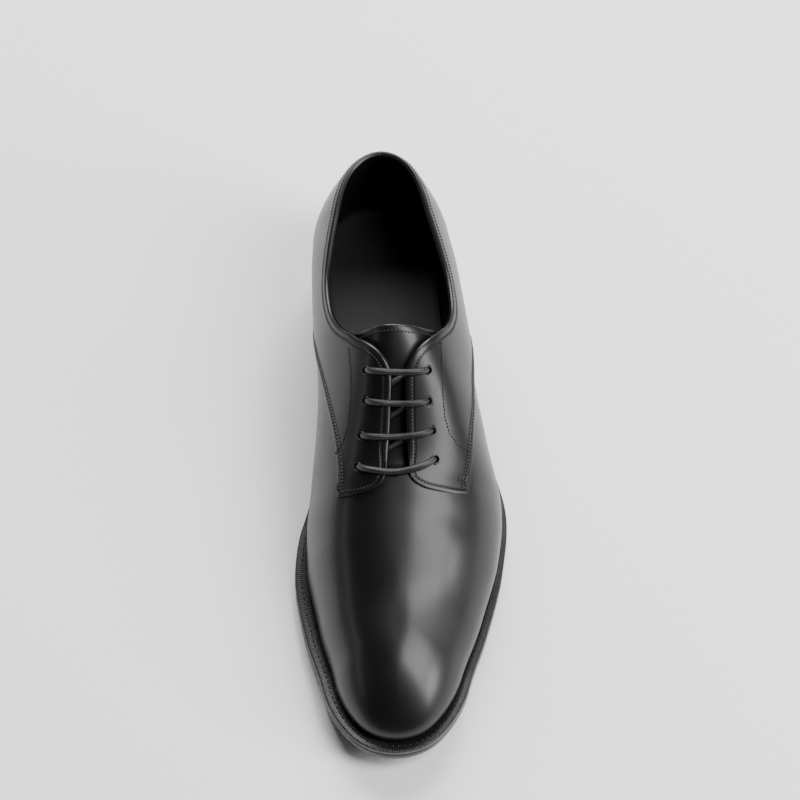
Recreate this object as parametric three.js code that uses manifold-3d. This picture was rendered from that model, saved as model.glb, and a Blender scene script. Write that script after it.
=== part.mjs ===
// A plain-toe derby shoe for the left foot: welted leather sole, stacked heel, one hollow upper with
// open lacing over a tongue, and a round lace in four straight bars.
// The toe points along -Y, the outer side of the foot is +X, and the sole stands on Z = 0.
import * as THREE from "three";
import { mergeVertices } from "three/addons/utils/BufferGeometryUtils.js";
import Module from "manifold-3d";

const wasm = await Module();
wasm.setup();

// Overall sizes, in millimetres
const LENGTH = 300;
const BALL_WIDTH = 105;
const INSTEP_HEIGHT = 74; // ridge above the welt where the lacing ends
const HEEL_HEIGHT = 25; // floor to the outsole
const TOE_SPRING = 11;
const COLLAR_HEIGHT = 55; // back of the collar above the welt

// Leather, rubber and gaps
const OUTSOLE_THICKNESS = 5;
const WELT_THICKNESS = 3.5;
const WELT_WIDTH = 6.3; // visible ledge in front of the toe
const TOP_PIECE_THICKNESS = 6; // rubber under the heel
const WALL = 1.6; // vamp with its lining
const QUARTER_LEATHER = 1.3; // lies on the wall and stands proud of the vamp
const INSOLE_THICKNESS = 3; // above the welt
const TONGUE_THICKNESS = 1.6;
const CLEARANCE = 0.3;
const LACE_CLEARANCE = 0.5; // round the lace, over and under the facings
const INSTEP_LEAN = 0.87; // distance square to the sloping facings for each mm straight down
const LACE_DIAMETER = 3.2;
const EYELET_DIAMETER = 4;
const HEEL_INSET = 1; // heel inside the edge of the outsole
const HEEL_TAPER = 2; // further inset at the floor

// How finely the forms are divided
const HALF_STEPS = 40; // from heel to toe along one side
const RISE_STEPS = 12; // from the welt to the ridge

const EDGE_STEP = 0.002; // share of the way round over which the edge's direction is taken
const BULGE = 6.75; // brings the peak of lift * (1 - lift) ** 2 to 1
const FOOT_SAMPLE = 0.3; // place along where the inset of the lengthened foot is taken

const LATERAL = 1;
const MEDIAL = -1;

// Edge of the sole: distance from the middle line as shares of the ball width, at shares of the
// length from the toe. The two ends are rounded off by roundEnds.
const SOLE_EDGE = [
  { along: 0.0, lateral: 0.315, medial: 0.31 },
  { along: 0.05, lateral: 0.31, medial: 0.3 },
  { along: 0.125, lateral: 0.354, medial: 0.328 },
  { along: 0.21, lateral: 0.44, medial: 0.394 },
  { along: 0.3, lateral: 0.517, medial: 0.436 },
  { along: 0.345, lateral: 0.543, medial: 0.437 },
  { along: 0.4, lateral: 0.565, medial: 0.414 },
  { along: 0.45, lateral: 0.56, medial: 0.369 },
  { along: 0.53, lateral: 0.49, medial: 0.305 },
  { along: 0.6, lateral: 0.415, medial: 0.275 },
  { along: 0.68, lateral: 0.36, medial: 0.275 },
  { along: 0.76, lateral: 0.335, medial: 0.295 },
  { along: 0.84, lateral: 0.325, medial: 0.31 },
  { along: 0.92, lateral: 0.318, medial: 0.312 },
  { along: 1.0, lateral: 0.315, medial: 0.315 },
];
const TOE_ROUND = 0.12; // share of the length that each rounded end takes
const HEEL_ROUND = 0.115;

// Welt ledge between the sole's edge and the foot of the upper, as shares of its width at the toe
const LEDGE = [
  { along: 0.0, lateral: 1.0, medial: 1.0 },
  { along: 0.2, lateral: 1.0, medial: 1.05 },
  { along: 0.4, lateral: 0.95, medial: 0.9 },
  { along: 0.55, lateral: 0.75, medial: 0.55 },
  { along: 0.75, lateral: 0.5, medial: 0.45 },
  { along: 1.0, lateral: 0.5, medial: 0.5 },
];

// Flat forefoot, and where the arch has reached the level of the heel, as shares of the length
const FLAT_FROM = 0.3;
const FLAT_TO = 0.41;
const ARCH_END = 0.7;
const HEEL_BREAST = 0.745;
const SPRING_CURVE = 1.8;

// Ridge of the last: its height above the welt as a share of the instep height, and its offset to
// the lateral side as a share of the ball width. Behind the lacing it is the closed top of the last,
// which the collar cuts away.
const RIDGE = [
  { along: 0.0, height: 0.26, offset: 0.0 },
  { along: 0.1, height: 0.4, offset: 0.004 },
  { along: 0.2, height: 0.53, offset: 0.012 },
  { along: 0.3, height: 0.66, offset: 0.02 },
  { along: 0.4, height: 0.79, offset: 0.026 },
  { along: 0.5, height: 0.92, offset: 0.034 },
  { along: 0.58, height: 1.0, offset: 0.036 },
  { along: 0.68, height: 1.05, offset: 0.016 },
  { along: 0.8, height: 1.03, offset: 0.0 },
  { along: 1.0, height: 1.0, offset: 0.012 },
];

// Section shape on the way round from the heel (0) to the toe (1): how full the section is, and how
// far the wall swells past its foot, as shares of the ball width
const SECTIONS = [
  { round: 0.0, fullness: 2.2, lateral: 0.02, medial: 0.02 },
  { round: 0.1, fullness: 1.7, lateral: 0.024, medial: 0.024 },
  { round: 0.2, fullness: 1.48, lateral: 0.036, medial: 0.035 },
  { round: 0.3, fullness: 1.68, lateral: 0.075, medial: 0.06 },
  { round: 0.4, fullness: 2.2, lateral: 0.08, medial: 0.085 },
  { round: 0.5, fullness: 2.6, lateral: 0.03, medial: 0.065 },
  { round: 0.6, fullness: 2.5, lateral: 0.045, medial: 0.01 },
  { round: 0.7, fullness: 2.4, lateral: 0.04, medial: 0.008 },
  { round: 0.8, fullness: 2.45, lateral: 0.025, medial: 0.012 },
  { round: 1.0, fullness: 2.6, lateral: 0.015, medial: 0.015 },
];
const TOE_REACH = 0.16; // the ridge begins this far behind the toe
const TOE_REACH_END = 0.4;
const HEEL_REACH = 0.055;
const HEEL_REACH_START = 0.8;

// Top edge of the collar above the welt, as shares of the collar height at the back
const COLLAR = [
  { along: 0.565, height: 1.42 },
  { along: 0.592, height: 1.34 },
  { along: 0.615, height: 1.2 },
  { along: 0.645, height: 1.02 },
  { along: 0.69, height: 0.88 },
  { along: 0.76, height: 0.83 },
  { along: 0.83, height: 0.9 },
  { along: 0.89, height: 0.97 },
  { along: 0.95, height: 1.0 },
  { along: 1.02, height: 1.0 },
];
const COLLAR_TILT = -0.04; // the lateral side is cut higher, in mm for each mm to the side

// Half width of the throat on each side of its middle line, as shares of the ball width
const THROAT = [
  { along: 0.415, half: 0.052 },
  { along: 0.47, half: 0.037 },
  { along: 0.5, half: 0.034 },
  { along: 0.54, half: 0.031 },
  { along: 0.557, half: 0.041 },
  { along: 0.58, half: 0.09 },
  { along: 0.615, half: 0.19 },
];
const THROAT_SHIFT = 0.006; // the gap lies this share of the ball width to the lateral side
const THROAT_END = 0.452; // the wall closes under the facings here

// Front edge of each quarter in plan: how far along it lies, at distances from the middle line
const LOBE = [
  { out: 0.045, along: 0.42 },
  { out: 0.055, along: 0.409 },
  { out: 0.085, along: 0.396 },
  { out: 0.15, along: 0.3865 },
  { out: 0.25, along: 0.385 },
  { out: 0.34, along: 0.391 },
  { out: 0.6, along: 0.42 },
];

// Lower edge of each quarter in the side view, above the welt as shares of the instep height
const QUARTER_EDGE = [
  { along: 0.36, height: 0.62 },
  { along: 0.4, height: 0.65 },
  { along: 0.44, height: 0.67 },
  { along: 0.49, height: 0.65 },
  { along: 0.55, height: 0.56 },
  { along: 0.61, height: 0.44 },
  { along: 0.67, height: 0.3 },
  { along: 0.72, height: 0.14 },
  { along: 0.76, height: -0.1 },
];

// Eyelets, from the top pair down: where each facing has them, and how far from the ridge
const EYELETS = [
  { lateral: 0.555, medial: 0.559, out: 0.142 },
  { lateral: 0.513, medial: 0.517, out: 0.142 },
  { lateral: 0.473, medial: 0.471, out: 0.162 },
  { lateral: 0.432, medial: 0.428, out: 0.178 },
];

// Tongue: its two ends along the shoe, its half widths, and where it has dropped under the lace
const TONGUE = [
  { along: 0.372, half: 0.12 },
  { along: 0.42, half: 0.18 },
  { along: 0.54, half: 0.22 },
  { along: 0.61, half: 0.225 },
  { along: 0.62, half: 0.21 },
  { along: 0.625, half: 0.18 },
];
const TONGUE_DROP_START = 0.385;
const TONGUE_DROP_END = 0.42;

// A column's value at a place, on a smooth curve through the rows
function fromTable(rows, key, column, place) {
  const last = rows.length - 1;
  if (place <= rows[0][key]) {
    return rows[0][column];
  }
  if (place >= rows[last][key]) {
    return rows[last][column];
  }
  const next = rows.findIndex((row) => row[key] >= place);
  const slope = (index) => {
    const before = rows[Math.max(index - 1, 0)];
    const after = rows[Math.min(index + 1, last)];
    return (after[column] - before[column]) / (after[key] - before[key]);
  };
  const span = rows[next][key] - rows[next - 1][key];
  const t = (place - rows[next - 1][key]) / span;
  const back = 1 - t;
  const near = (1 + 2 * t) * rows[next - 1][column] + t * span * slope(next - 1);
  const far = (1 + 2 * back) * rows[next][column] - back * span * slope(next);
  return back * back * near + t * t * far;
}

function sideColumn(side) {
  return side === LATERAL ? "lateral" : "medial";
}

function lengthwise(along) {
  return LENGTH * (along - 0.5);
}

function roundEnds(along) {
  if (along < TOE_ROUND) {
    return Math.sqrt(1 - (1 - along / TOE_ROUND) ** 2);
  }
  if (along > 1 - HEEL_ROUND) {
    return Math.sqrt(Math.max(0, 1 - ((along - 1 + HEEL_ROUND) / HEEL_ROUND) ** 2));
  }
  return 1;
}

// Place on the way round the sole: 0 at the back of the heel, 1 at the toe, 2 at the heel again
function station(around) {
  const side = around <= 1 ? LATERAL : MEDIAL;
  const round = around <= 1 ? around : 2 - around;
  return { side, round, along: (1 + Math.cos(Math.PI * round)) / 2 };
}

function edgePoint(around) {
  const { side, along } = station((around + 2) % 2);
  const width = BALL_WIDTH * fromTable(SOLE_EDGE, "along", sideColumn(side), along);
  return new THREE.Vector2(side * width * roundEnds(along), lengthwise(along));
}

// The sole's edge, moved inwards by a distance
function insetPoint(around, inset) {
  const tangent = edgePoint(around + EDGE_STEP).sub(edgePoint(around - EDGE_STEP)).normalize();
  const inward = new THREE.Vector2(tangent.y, -tangent.x);
  return edgePoint(around).addScaledVector(inward, inset);
}

function soleBottom(y) {
  const along = THREE.MathUtils.clamp(y / LENGTH + 0.5, 0, 1);
  if (along < FLAT_FROM) {
    return TOE_SPRING * ((FLAT_FROM - along) / FLAT_FROM) ** SPRING_CURVE;
  }
  return HEEL_HEIGHT * THREE.MathUtils.smoothstep(along, FLAT_TO, ARCH_END);
}

const outsoleTop = (y) => soleBottom(y) + OUTSOLE_THICKNESS;
const weltBottom = (y) => outsoleTop(y) + CLEARANCE;
const weltTop = (y) => weltBottom(y) + WELT_THICKNESS;
const upperFoot = (y) => weltTop(y) + CLEARANCE;

function ledgeAt(around) {
  const { side, along } = station((around + 2) % 2);
  return WELT_WIDTH * fromTable(LEDGE, "along", sideColumn(side), along);
}

function ridgeOffset(y) {
  return BALL_WIDTH * fromTable(RIDGE, "along", "offset", y / LENGTH + 0.5);
}

function ridgeRise(y, inset) {
  return INSTEP_HEIGHT * fromTable(RIDGE, "along", "height", y / LENGTH + 0.5) - inset;
}

// Where on the ridge the wall at one place round the foot arrives
function ridgePlace(along) {
  const toe = Math.max(0, 1 - along / TOE_REACH_END) ** 2 * TOE_REACH;
  const heel = Math.max(0, (along - HEEL_REACH_START) / (1 - HEEL_REACH_START)) ** 2 * HEEL_REACH;
  return along + toe - heel;
}

// A point of the last's form, drawn in by an inset: rise goes from 0 at the foot to 1 on the ridge
function formPoint(around, rise, inset) {
  const { side, round, along } = station((around + 2) % 2);
  const foot = insetPoint(around, ledgeAt(around) + inset);
  const outward = insetPoint(around, 0).sub(insetPoint(around, 1));
  const y = lengthwise(ridgePlace(along));
  const ridge = new THREE.Vector2(ridgeOffset(y), y);
  const fullness = fromTable(SECTIONS, "round", "fullness", round);
  const swell = BALL_WIDTH * fromTable(SECTIONS, "round", sideColumn(side), round);
  const angle = rise * Math.PI / 2;
  const reach = rise === 1 ? 0 : Math.cos(angle) ** (2 / fullness);
  const lift = Math.sin(angle);
  const bulge = BULGE * lift * (1 - lift) ** 2;
  const plan = ridge.addScaledVector(foot.clone().sub(ridge), reach);
  plan.addScaledVector(outward, swell * bulge);
  const height = upperFoot(plan.y) + ridgeRise(plan.y, inset) * lift;
  return new THREE.Vector3(plan.x, plan.y, height);
}

// Height of the form over a place in plan, where the section lies straight across the shoe
function formHeight(x, along, inset) {
  const round = Math.acos(2 * along - 1) / Math.PI;
  const around = x >= ridgeOffset(lengthwise(along)) ? round : 2 - round;
  let low = 0;
  let high = 1;
  for (let turn = 0; turn < 30; turn += 1) {
    const middle = (low + high) / 2;
    const point = formPoint(around, middle, inset);
    const outside = Math.abs(point.x - ridgeOffset(point.y)) > Math.abs(x - ridgeOffset(point.y));
    low = outside ? middle : low;
    high = outside ? high : middle;
  }
  return formPoint(around, (low + high) / 2, inset).z;
}

// A point at a distance above the form, with the normal of the surface there
function abovePoint(x, along, inset, distance) {
  const step = 0.5;
  const slopeX = (formHeight(x + step, along, inset) - formHeight(x - step, along, inset)) / (2 * step);
  const share = step / LENGTH;
  const rise = formHeight(x, along + share, inset) - formHeight(x, along - share, inset);
  const normal = new THREE.Vector3(-slopeX, -rise / (2 * step), 1).normalize();
  const point = new THREE.Vector3(x, lengthwise(along), formHeight(x, along, inset));
  return { point: point.addScaledVector(normal, distance), normal };
}

function closedGeometry(points, faces) {
  const geometry = new THREE.BufferGeometry();
  const numbers = points.flatMap((point) => [point.x, point.y, point.z]);
  geometry.setAttribute("position", new THREE.Float32BufferAttribute(numbers, 3));
  geometry.setIndex(faces);
  return geometry;
}

// A skin round closed loops of points, each of the same length, with ladders across the two ends
function skin(loops, capEnds) {
  const count = loops[0].length;
  const faces = [];
  for (let row = 0; row + 1 < loops.length; row += 1) {
    for (let i = 0; i < count; i += 1) {
      const a = row * count + i;
      const b = row * count + (i + 1) % count;
      faces.push(a, b, b + count, a, b + count, a + count);
    }
  }
  const ladder = (start, up) => {
    for (let i = 0; i < count / 2; i += 1) {
      const a = start + i;
      const b = start + i + 1;
      const c = start + (count - i - 1) % count;
      const d = start + (count - i) % count;
      const quad = up ? [a, b, c, a, c, d] : [a, c, b, a, d, c];
      faces.push(...quad);
    }
  };
  ladder(0, false);
  if (capEnds) {
    ladder((loops.length - 1) * count, true);
  }
  return closedGeometry(loops.flat(), faces);
}

function solidOf(geometry) {
  const bare = geometry.index ? geometry.toNonIndexed() : geometry.clone();
  bare.deleteAttribute("normal");
  bare.deleteAttribute("uv");
  const merged = mergeVertices(bare, 1e-4);
  const index = merged.index.array;
  const triangles = [];
  for (let i = 0; i < index.length; i += 3) {
    const [a, b, c] = [index[i], index[i + 1], index[i + 2]];
    if (a !== b && b !== c && c !== a) {
      triangles.push(a, b, c);
    }
  }
  const mesh = new wasm.Mesh({
    numProp: 3,
    vertProperties: new Float32Array(merged.attributes.position.array),
    triVerts: new Uint32Array(triangles),
  });
  return new wasm.Manifold(mesh);
}

function geometryOf(solid) {
  const mesh = solid.getMesh();
  const geometry = new THREE.BufferGeometry();
  geometry.setAttribute("position", new THREE.BufferAttribute(mesh.vertProperties, 3));
  geometry.setIndex(new THREE.BufferAttribute(mesh.triVerts, 1));
  return geometry;
}

const AROUND = Array.from({ length: 2 * HALF_STEPS }, (_, step) => 2 - step / HALF_STEPS);

function outlineLoop(insetAt, heightAt) {
  return AROUND.map((around) => {
    const point = insetPoint(around, insetAt(around));
    return new THREE.Vector3(point.x, point.y, heightAt(point.y));
  });
}

// The last's form as a closed solid, drawn in by an inset and lengthened downwards at its foot
function formSolid(insetAt, drop) {
  const loops = [];
  if (drop > 0) {
    loops.push(outlineLoop((around) => ledgeAt(around) + insetAt(FOOT_SAMPLE), (y) => upperFoot(y) - drop));
  }
  for (let step = 0; step <= RISE_STEPS; step += 1) {
    loops.push(AROUND.map((around) => {
      const along = ridgePlace(station(around % 2).along);
      return formPoint(around, step / RISE_STEPS, insetAt(along));
    }));
  }
  return solidOf(skin(loops, false));
}

// A solid between a plan outline and itself, through the whole height
function planPrism(points) {
  const shape = new THREE.Shape(points.map(([x, y]) => new THREE.Vector2(x, y)));
  return solidOf(new THREE.ExtrudeGeometry(shape, { depth: 2 * LENGTH, bevelEnabled: false }));
}

// A solid through the shoe from side to side, whose outline is given in the side view
function sidePrism(points, tilt) {
  const shape = new THREE.Shape(points.map(([y, z]) => new THREE.Vector2(y, z)));
  const geometry = new THREE.ExtrudeGeometry(shape, { depth: 2 * LENGTH, bevelEnabled: false });
  geometry.translate(0, 0, -LENGTH);
  geometry.applyMatrix4(new THREE.Matrix4().set(
    0, 0, 1, 0,
    1, 0, 0, 0,
    0, 1, -tilt, 0,
    0, 0, 0, 1,
  ));
  return solidOf(geometry);
}

function ridgeAt(along) {
  return ridgeOffset(lengthwise(along));
}

function rowsBetween(first, last, steps) {
  return Array.from({ length: steps + 1 }, (_, step) => first + (last - first) * step / steps);
}

function throatPrism(first) {
  const places = rowsBetween(first, THROAT.at(-1).along, 24);
  const side = (sign) => places.map((along) => {
    const half = BALL_WIDTH * fromTable(THROAT, "along", "half", along);
    return [ridgeAt(along) + THROAT_SHIFT * BALL_WIDTH + sign * half, lengthwise(along)];
  });
  return planPrism([...side(LATERAL), ...side(MEDIAL).reverse()]);
}

function collarPrism() {
  const places = rowsBetween(COLLAR[0].along, COLLAR.at(-1).along, 18);
  const edge = places.map((along) => {
    const y = lengthwise(along);
    const height = COLLAR_HEIGHT * fromTable(COLLAR, "along", "height", along);
    return [y, upperFoot(y) + height];
  });
  const top = 2 * INSTEP_HEIGHT + HEEL_HEIGHT;
  return sidePrism([...edge, [edge.at(-1)[0], top], [edge[0][0], top]], COLLAR_TILT);
}

// Where the two quarters lie on the wall: behind the lobes in plan and above their lower edge
function quarterRegion() {
  const places = rowsBetween(LOBE[0].out, LOBE.at(-1).out, 14);
  const lobe = (sign) => places.map((out) => {
    const along = fromTable(LOBE, "out", "along", out);
    return [ridgeAt(along) + sign * out * BALL_WIDTH, lengthwise(along)];
  });
  const back = 1.1 * LENGTH;
  const plan = planPrism([
    ...lobe(MEDIAL).reverse(),
    ...lobe(LATERAL),
    [BALL_WIDTH, back],
    [-BALL_WIDTH, back],
  ]);
  const edge = rowsBetween(QUARTER_EDGE[0].along, QUARTER_EDGE.at(-1).along, 14).map((along) => {
    const y = lengthwise(along);
    return [y, upperFoot(y) + INSTEP_HEIGHT * fromTable(QUARTER_EDGE, "along", "height", along)];
  });
  const top = 2 * INSTEP_HEIGHT + HEEL_HEIGHT;
  const side = sidePrism([...edge, [back, edge.at(-1)[1]], [back, top], [edge[0][0], top]], 0);
  return plan.intersect(side);
}

function eyeletHole(row, side) {
  const along = row[sideColumn(side)];
  const x = ridgeAt(along) + side * row.out * BALL_WIDTH;
  const { point, normal } = abovePoint(x, along, -QUARTER_LEATHER, 0);
  const reach = 4 * (WALL + QUARTER_LEATHER);
  const hole = new THREE.CylinderGeometry(EYELET_DIAMETER / 2, EYELET_DIAMETER / 2, reach, 12);
  hole.applyQuaternion(new THREE.Quaternion().setFromUnitVectors(new THREE.Vector3(0, 1, 0), normal));
  hole.translate(point.x, point.y, point.z);
  return solidOf(hole);
}

// Upper: the wall round the last, with the quarters' leather on it, open at collar, throat and foot
function makeUpper() {
  const inside = formSolid(() => WALL, WELT_THICKNESS);
  const wall = formSolid(() => 0, 0).subtract(throatPrism(THROAT_END));
  const quarters = formSolid(() => -QUARTER_LEATHER, 0).intersect(quarterRegion());
  let upper = wall.add(quarters.subtract(throatPrism(THROAT[0].along)));
  upper = upper.subtract(inside).subtract(collarPrism());
  for (const row of EYELETS) {
    upper = upper.subtract(eyeletHole(row, LATERAL)).subtract(eyeletHole(row, MEDIAL));
  }
  return geometryOf(upper);
}

// Depth of the tongue under the vamp's outer face: against the wall in front, under the lace behind
function tongueDepth(along) {
  const shallow = WALL + CLEARANCE;
  const lace = (LACE_DIAMETER + 2 * LACE_CLEARANCE) / INSTEP_LEAN;
  const deep = WALL + lace + CLEARANCE;
  return shallow + (deep - shallow) * THREE.MathUtils.smoothstep(along, TONGUE_DROP_START, TONGUE_DROP_END);
}

function makeTongue() {
  const outer = formSolid((along) => tongueDepth(along), 0);
  const inner = formSolid((along) => tongueDepth(along) + TONGUE_THICKNESS, WELT_THICKNESS);
  const places = rowsBetween(TONGUE[0].along, TONGUE.at(-1).along, 16);
  const side = (sign) => places.map((along) => {
    const half = BALL_WIDTH * fromTable(TONGUE, "along", "half", along);
    return [ridgeAt(along) + sign * half, lengthwise(along)];
  });
  const region = planPrism([...side(LATERAL), ...side(MEDIAL).reverse()]);
  const halfway = HEEL_HEIGHT + INSTEP_HEIGHT / 3;
  const top = 2 * INSTEP_HEIGHT + HEEL_HEIGHT;
  const above = sidePrism([[-LENGTH, halfway], [LENGTH, halfway], [LENGTH, top], [-LENGTH, top]], 0);
  return geometryOf(outer.subtract(inner).intersect(region).intersect(above));
}

function makeOutsole() {
  return skin([outlineLoop(() => 0, soleBottom), outlineLoop(() => 0, outsoleTop)], true);
}

// Welt: a ring that carries the foot of the upper, all round the sole
function makeWelt() {
  const inner = (around) => ledgeAt(around) + WALL;
  const block = skin([outlineLoop(() => 0, weltBottom), outlineLoop(() => 0, weltTop)], true);
  const core = skin([
    outlineLoop(inner, (y) => weltBottom(y) - WELT_THICKNESS),
    outlineLoop(inner, (y) => weltTop(y) + WELT_THICKNESS),
  ], true);
  return geometryOf(solidOf(block).subtract(solidOf(core)));
}

function makeInsole() {
  const inset = (around) => ledgeAt(around) + WALL + CLEARANCE;
  return skin([
    outlineLoop(inset, weltBottom),
    outlineLoop(inset, (y) => upperFoot(y) + INSOLE_THICKNESS),
  ], true);
}

// A slice of the tapered heel between two heights, from its breast to the back
function heelSlice(bottom, top) {
  const insetAt = (height) => HEEL_INSET + HEEL_TAPER * (1 - height / HEEL_HEIGHT);
  const loop = (height) => outlineLoop(() => insetAt(height), () => height);
  const body = solidOf(skin([loop(bottom), loop(top)], true));
  const breast = lengthwise(HEEL_BREAST);
  const back = lengthwise(1.1);
  const behind = planPrism([
    [-BALL_WIDTH, breast],
    [BALL_WIDTH, breast],
    [BALL_WIDTH, back],
    [-BALL_WIDTH, back],
  ]);
  return geometryOf(body.intersect(behind));
}

// Places on a bar from eyelet to eyelet, on the slant to the next row, and on the last run to the top
const BAR_PLACES = [-1, -0.75, -0.45, -0.15, 0.15, 0.45, 0.75, 1];
const SLANT_PLACES = [0.25, 0.5, 0.75];
const LAST_RUN_PLACES = [0.2, 0.6, 1];

// Lace: straight bars over the facings, down through each eyelet, and slanting back up underneath
function laceRoute() {
  const over = LACE_DIAMETER / 2 + LACE_CLEARANCE;
  const under = -((WALL + QUARTER_LEATHER) * INSTEP_LEAN + over);
  const place = (along, out, depth) => {
    const x = ridgeAt(along) + out * BALL_WIDTH;
    return abovePoint(x, along, -QUARTER_LEATHER, depth).point;
  };
  const route = [];
  EYELETS.forEach((row, index) => {
    route.push(place(row.medial, -row.out, under));
    for (const share of BAR_PLACES) {
      const along = row.medial + (row.lateral - row.medial) * (share + 1) / 2;
      route.push(place(along, share * row.out, over));
    }
    route.push(place(row.lateral, row.out, under));
    const next = EYELETS[index + 1];
    if (next) {
      for (const share of SLANT_PLACES) {
        const along = row.lateral + (next.medial - row.lateral) * share;
        route.push(place(along, row.out - (next.out + row.out) * share, under));
      }
    }
  });
  const bottom = EYELETS.at(-1);
  const top = EYELETS[0];
  const aside = (1.5 * LACE_DIAMETER + EYELET_DIAMETER) / BALL_WIDTH;
  for (const share of LAST_RUN_PLACES) {
    const along = bottom.lateral + (top.lateral - bottom.lateral) * share;
    route.push(place(along, bottom.out + (top.out - bottom.out) * share + aside, under));
  }
  return route;
}

// A round cord along straight runs, mitred where they meet
function makeLace() {
  const route = laceRoute();
  const sides = 8;
  const runs = route.slice(1).map((point, index) => point.clone().sub(route[index]).normalize());
  const across = new THREE.Vector3(0, 1, 0).cross(runs[0]).normalize();
  let ring = Array.from({ length: sides }, (_, side) => {
    const spoke = across.clone().applyAxisAngle(runs[0], side * 2 * Math.PI / sides);
    return route[0].clone().addScaledVector(spoke, LACE_DIAMETER / 2);
  });
  const rings = [ring];
  runs.forEach((run, index) => {
    const end = route[index + 1];
    const mitre = run.clone().add(runs[index + 1] ?? run);
    ring = ring.map((point) => {
      const travel = end.clone().sub(point).dot(mitre) / run.dot(mitre);
      return point.clone().addScaledVector(run, travel);
    });
    rings.push(ring);
  });
  return skin(rings, true);
}

const boxCalf = new THREE.MeshStandardMaterial({ color: "#0e0e0e", roughness: 0.3, metalness: 0 });
const soleLeather = new THREE.MeshStandardMaterial({ color: "#1a1918", roughness: 0.5, metalness: 0 });
const liningLeather = new THREE.MeshStandardMaterial({ color: "#232221", roughness: 0.7, metalness: 0 });
const rubber = new THREE.MeshStandardMaterial({ color: "#141414", roughness: 0.8, metalness: 0 });
const waxedCotton = new THREE.MeshStandardMaterial({ color: "#111111", roughness: 0.6, metalness: 0 });

const group = new THREE.Group();

function addPiece(name, geometry, material) {
  const piece = new THREE.Mesh(geometry, material);
  piece.name = name;
  group.add(piece);
}

addPiece("outsole", makeOutsole(), soleLeather);
addPiece("welt", makeWelt(), soleLeather);
addPiece("heel_stack", heelSlice(TOP_PIECE_THICKNESS, HEEL_HEIGHT), soleLeather);
addPiece("heel_top_piece", heelSlice(0, TOP_PIECE_THICKNESS), rubber);
addPiece("insole", makeInsole(), liningLeather);
addPiece("upper", makeUpper(), boxCalf);
addPiece("tongue", makeTongue(), boxCalf);
addPiece("lace", makeLace(), waxedCotton);

// The sole curves to one side, so the whole shoe is moved until its middle lies over the origin
const bounds = new THREE.Box3().setFromObject(group);
group.position.x = -(bounds.min.x + bounds.max.x) / 2;

export default group;
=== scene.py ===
# %% [markdown]
# # A plain-toe derby shoe, left foot
# The shoe is built in the order a shoemaker closes it: sole, welt and heel, then insole, vamp, quarters,
# tongue and lace, on top of solids that were modelled before. Each piece here follows its
# solid and adds what the solid leaves out: rolled edges, stitches, grain and gloss.

# %% Load the solids
import math

import bmesh
import bpy
from mathutils import Matrix, Vector
from mathutils.bvhtree import BVHTree
from mathutils.kdtree import KDTree


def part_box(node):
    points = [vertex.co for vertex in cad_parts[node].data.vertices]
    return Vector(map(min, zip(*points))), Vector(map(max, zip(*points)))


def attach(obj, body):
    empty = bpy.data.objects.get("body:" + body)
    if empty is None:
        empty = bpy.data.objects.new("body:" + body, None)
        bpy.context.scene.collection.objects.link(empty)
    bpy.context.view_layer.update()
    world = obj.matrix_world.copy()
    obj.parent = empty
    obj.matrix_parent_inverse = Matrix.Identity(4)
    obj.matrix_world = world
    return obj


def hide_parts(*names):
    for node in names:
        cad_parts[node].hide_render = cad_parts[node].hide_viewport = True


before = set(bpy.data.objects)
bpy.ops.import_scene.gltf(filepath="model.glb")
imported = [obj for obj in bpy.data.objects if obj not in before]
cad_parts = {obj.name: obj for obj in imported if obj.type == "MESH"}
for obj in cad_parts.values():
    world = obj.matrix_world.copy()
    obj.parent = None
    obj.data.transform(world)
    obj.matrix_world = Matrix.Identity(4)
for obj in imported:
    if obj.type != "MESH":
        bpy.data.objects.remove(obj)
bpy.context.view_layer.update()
print("solids:", sorted(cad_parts))

# %% [markdown]
# # The form of the last
# A shoe is pulled over a wooden last, so every upper piece lies on one surface. That surface could be
# sculpted, but a formula drawn from a few tables lets each panel, stitch and hole find its place on it.
# The tables are the ones that the solid parts were made from, as shares of length and ball width.

# %% Driving sizes, in millimetres
ALONG, LATERAL, MEDIAL, FULLNESS = 0, 1, 2, 3
HEIGHT, OFFSET, HALF = 1, 2, 1
LENGTH = 300.0
BALL_WIDTH = 105.0
INSTEP_HEIGHT = 74.0
HEEL_HEIGHT = 25.0
TOE_SPRING = 11.0
COLLAR_HEIGHT = 55.0
OUTSOLE_THICKNESS = 5.0
WELT_THICKNESS = 3.5
WELT_WIDTH = 6.3
TOP_PIECE_THICKNESS = 6.0
WALL = 1.6
QUARTER_LEATHER = 1.3
LACE_DIAMETER = 3.2
EYELET_DIAMETER = 4.0
CLEARANCE = 0.3
HEEL_INSET = 1.0
HEEL_TAPER = 2.0

# %% Tables of the sole's edge, the welt's ledge, the ridge and the sections
SOLE_EDGE = [  # along the shoe from the toe, lateral half width, medial half width
    (0.0, 0.315, 0.31), (0.05, 0.31, 0.3), (0.125, 0.354, 0.328), (0.21, 0.44, 0.394),
    (0.3, 0.517, 0.436), (0.345, 0.543, 0.437), (0.4, 0.565, 0.414), (0.45, 0.56, 0.369),
    (0.53, 0.49, 0.305), (0.6, 0.415, 0.275), (0.68, 0.36, 0.275), (0.76, 0.335, 0.295),
    (0.84, 0.325, 0.31), (0.92, 0.318, 0.312), (1.0, 0.315, 0.315),
]
TOE_ROUND = 0.12
HEEL_ROUND = 0.115
LEDGE = [  # along, lateral ledge, medial ledge
    (0.0, 1.0, 1.0), (0.2, 1.0, 1.05), (0.4, 0.95, 0.9),
    (0.55, 0.75, 0.55), (0.75, 0.5, 0.45), (1.0, 0.5, 0.5),
]
FLAT_FROM, FLAT_TO, ARCH_END, HEEL_BREAST, SPRING_CURVE = 0.3, 0.41, 0.7, 0.745, 1.8
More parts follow.
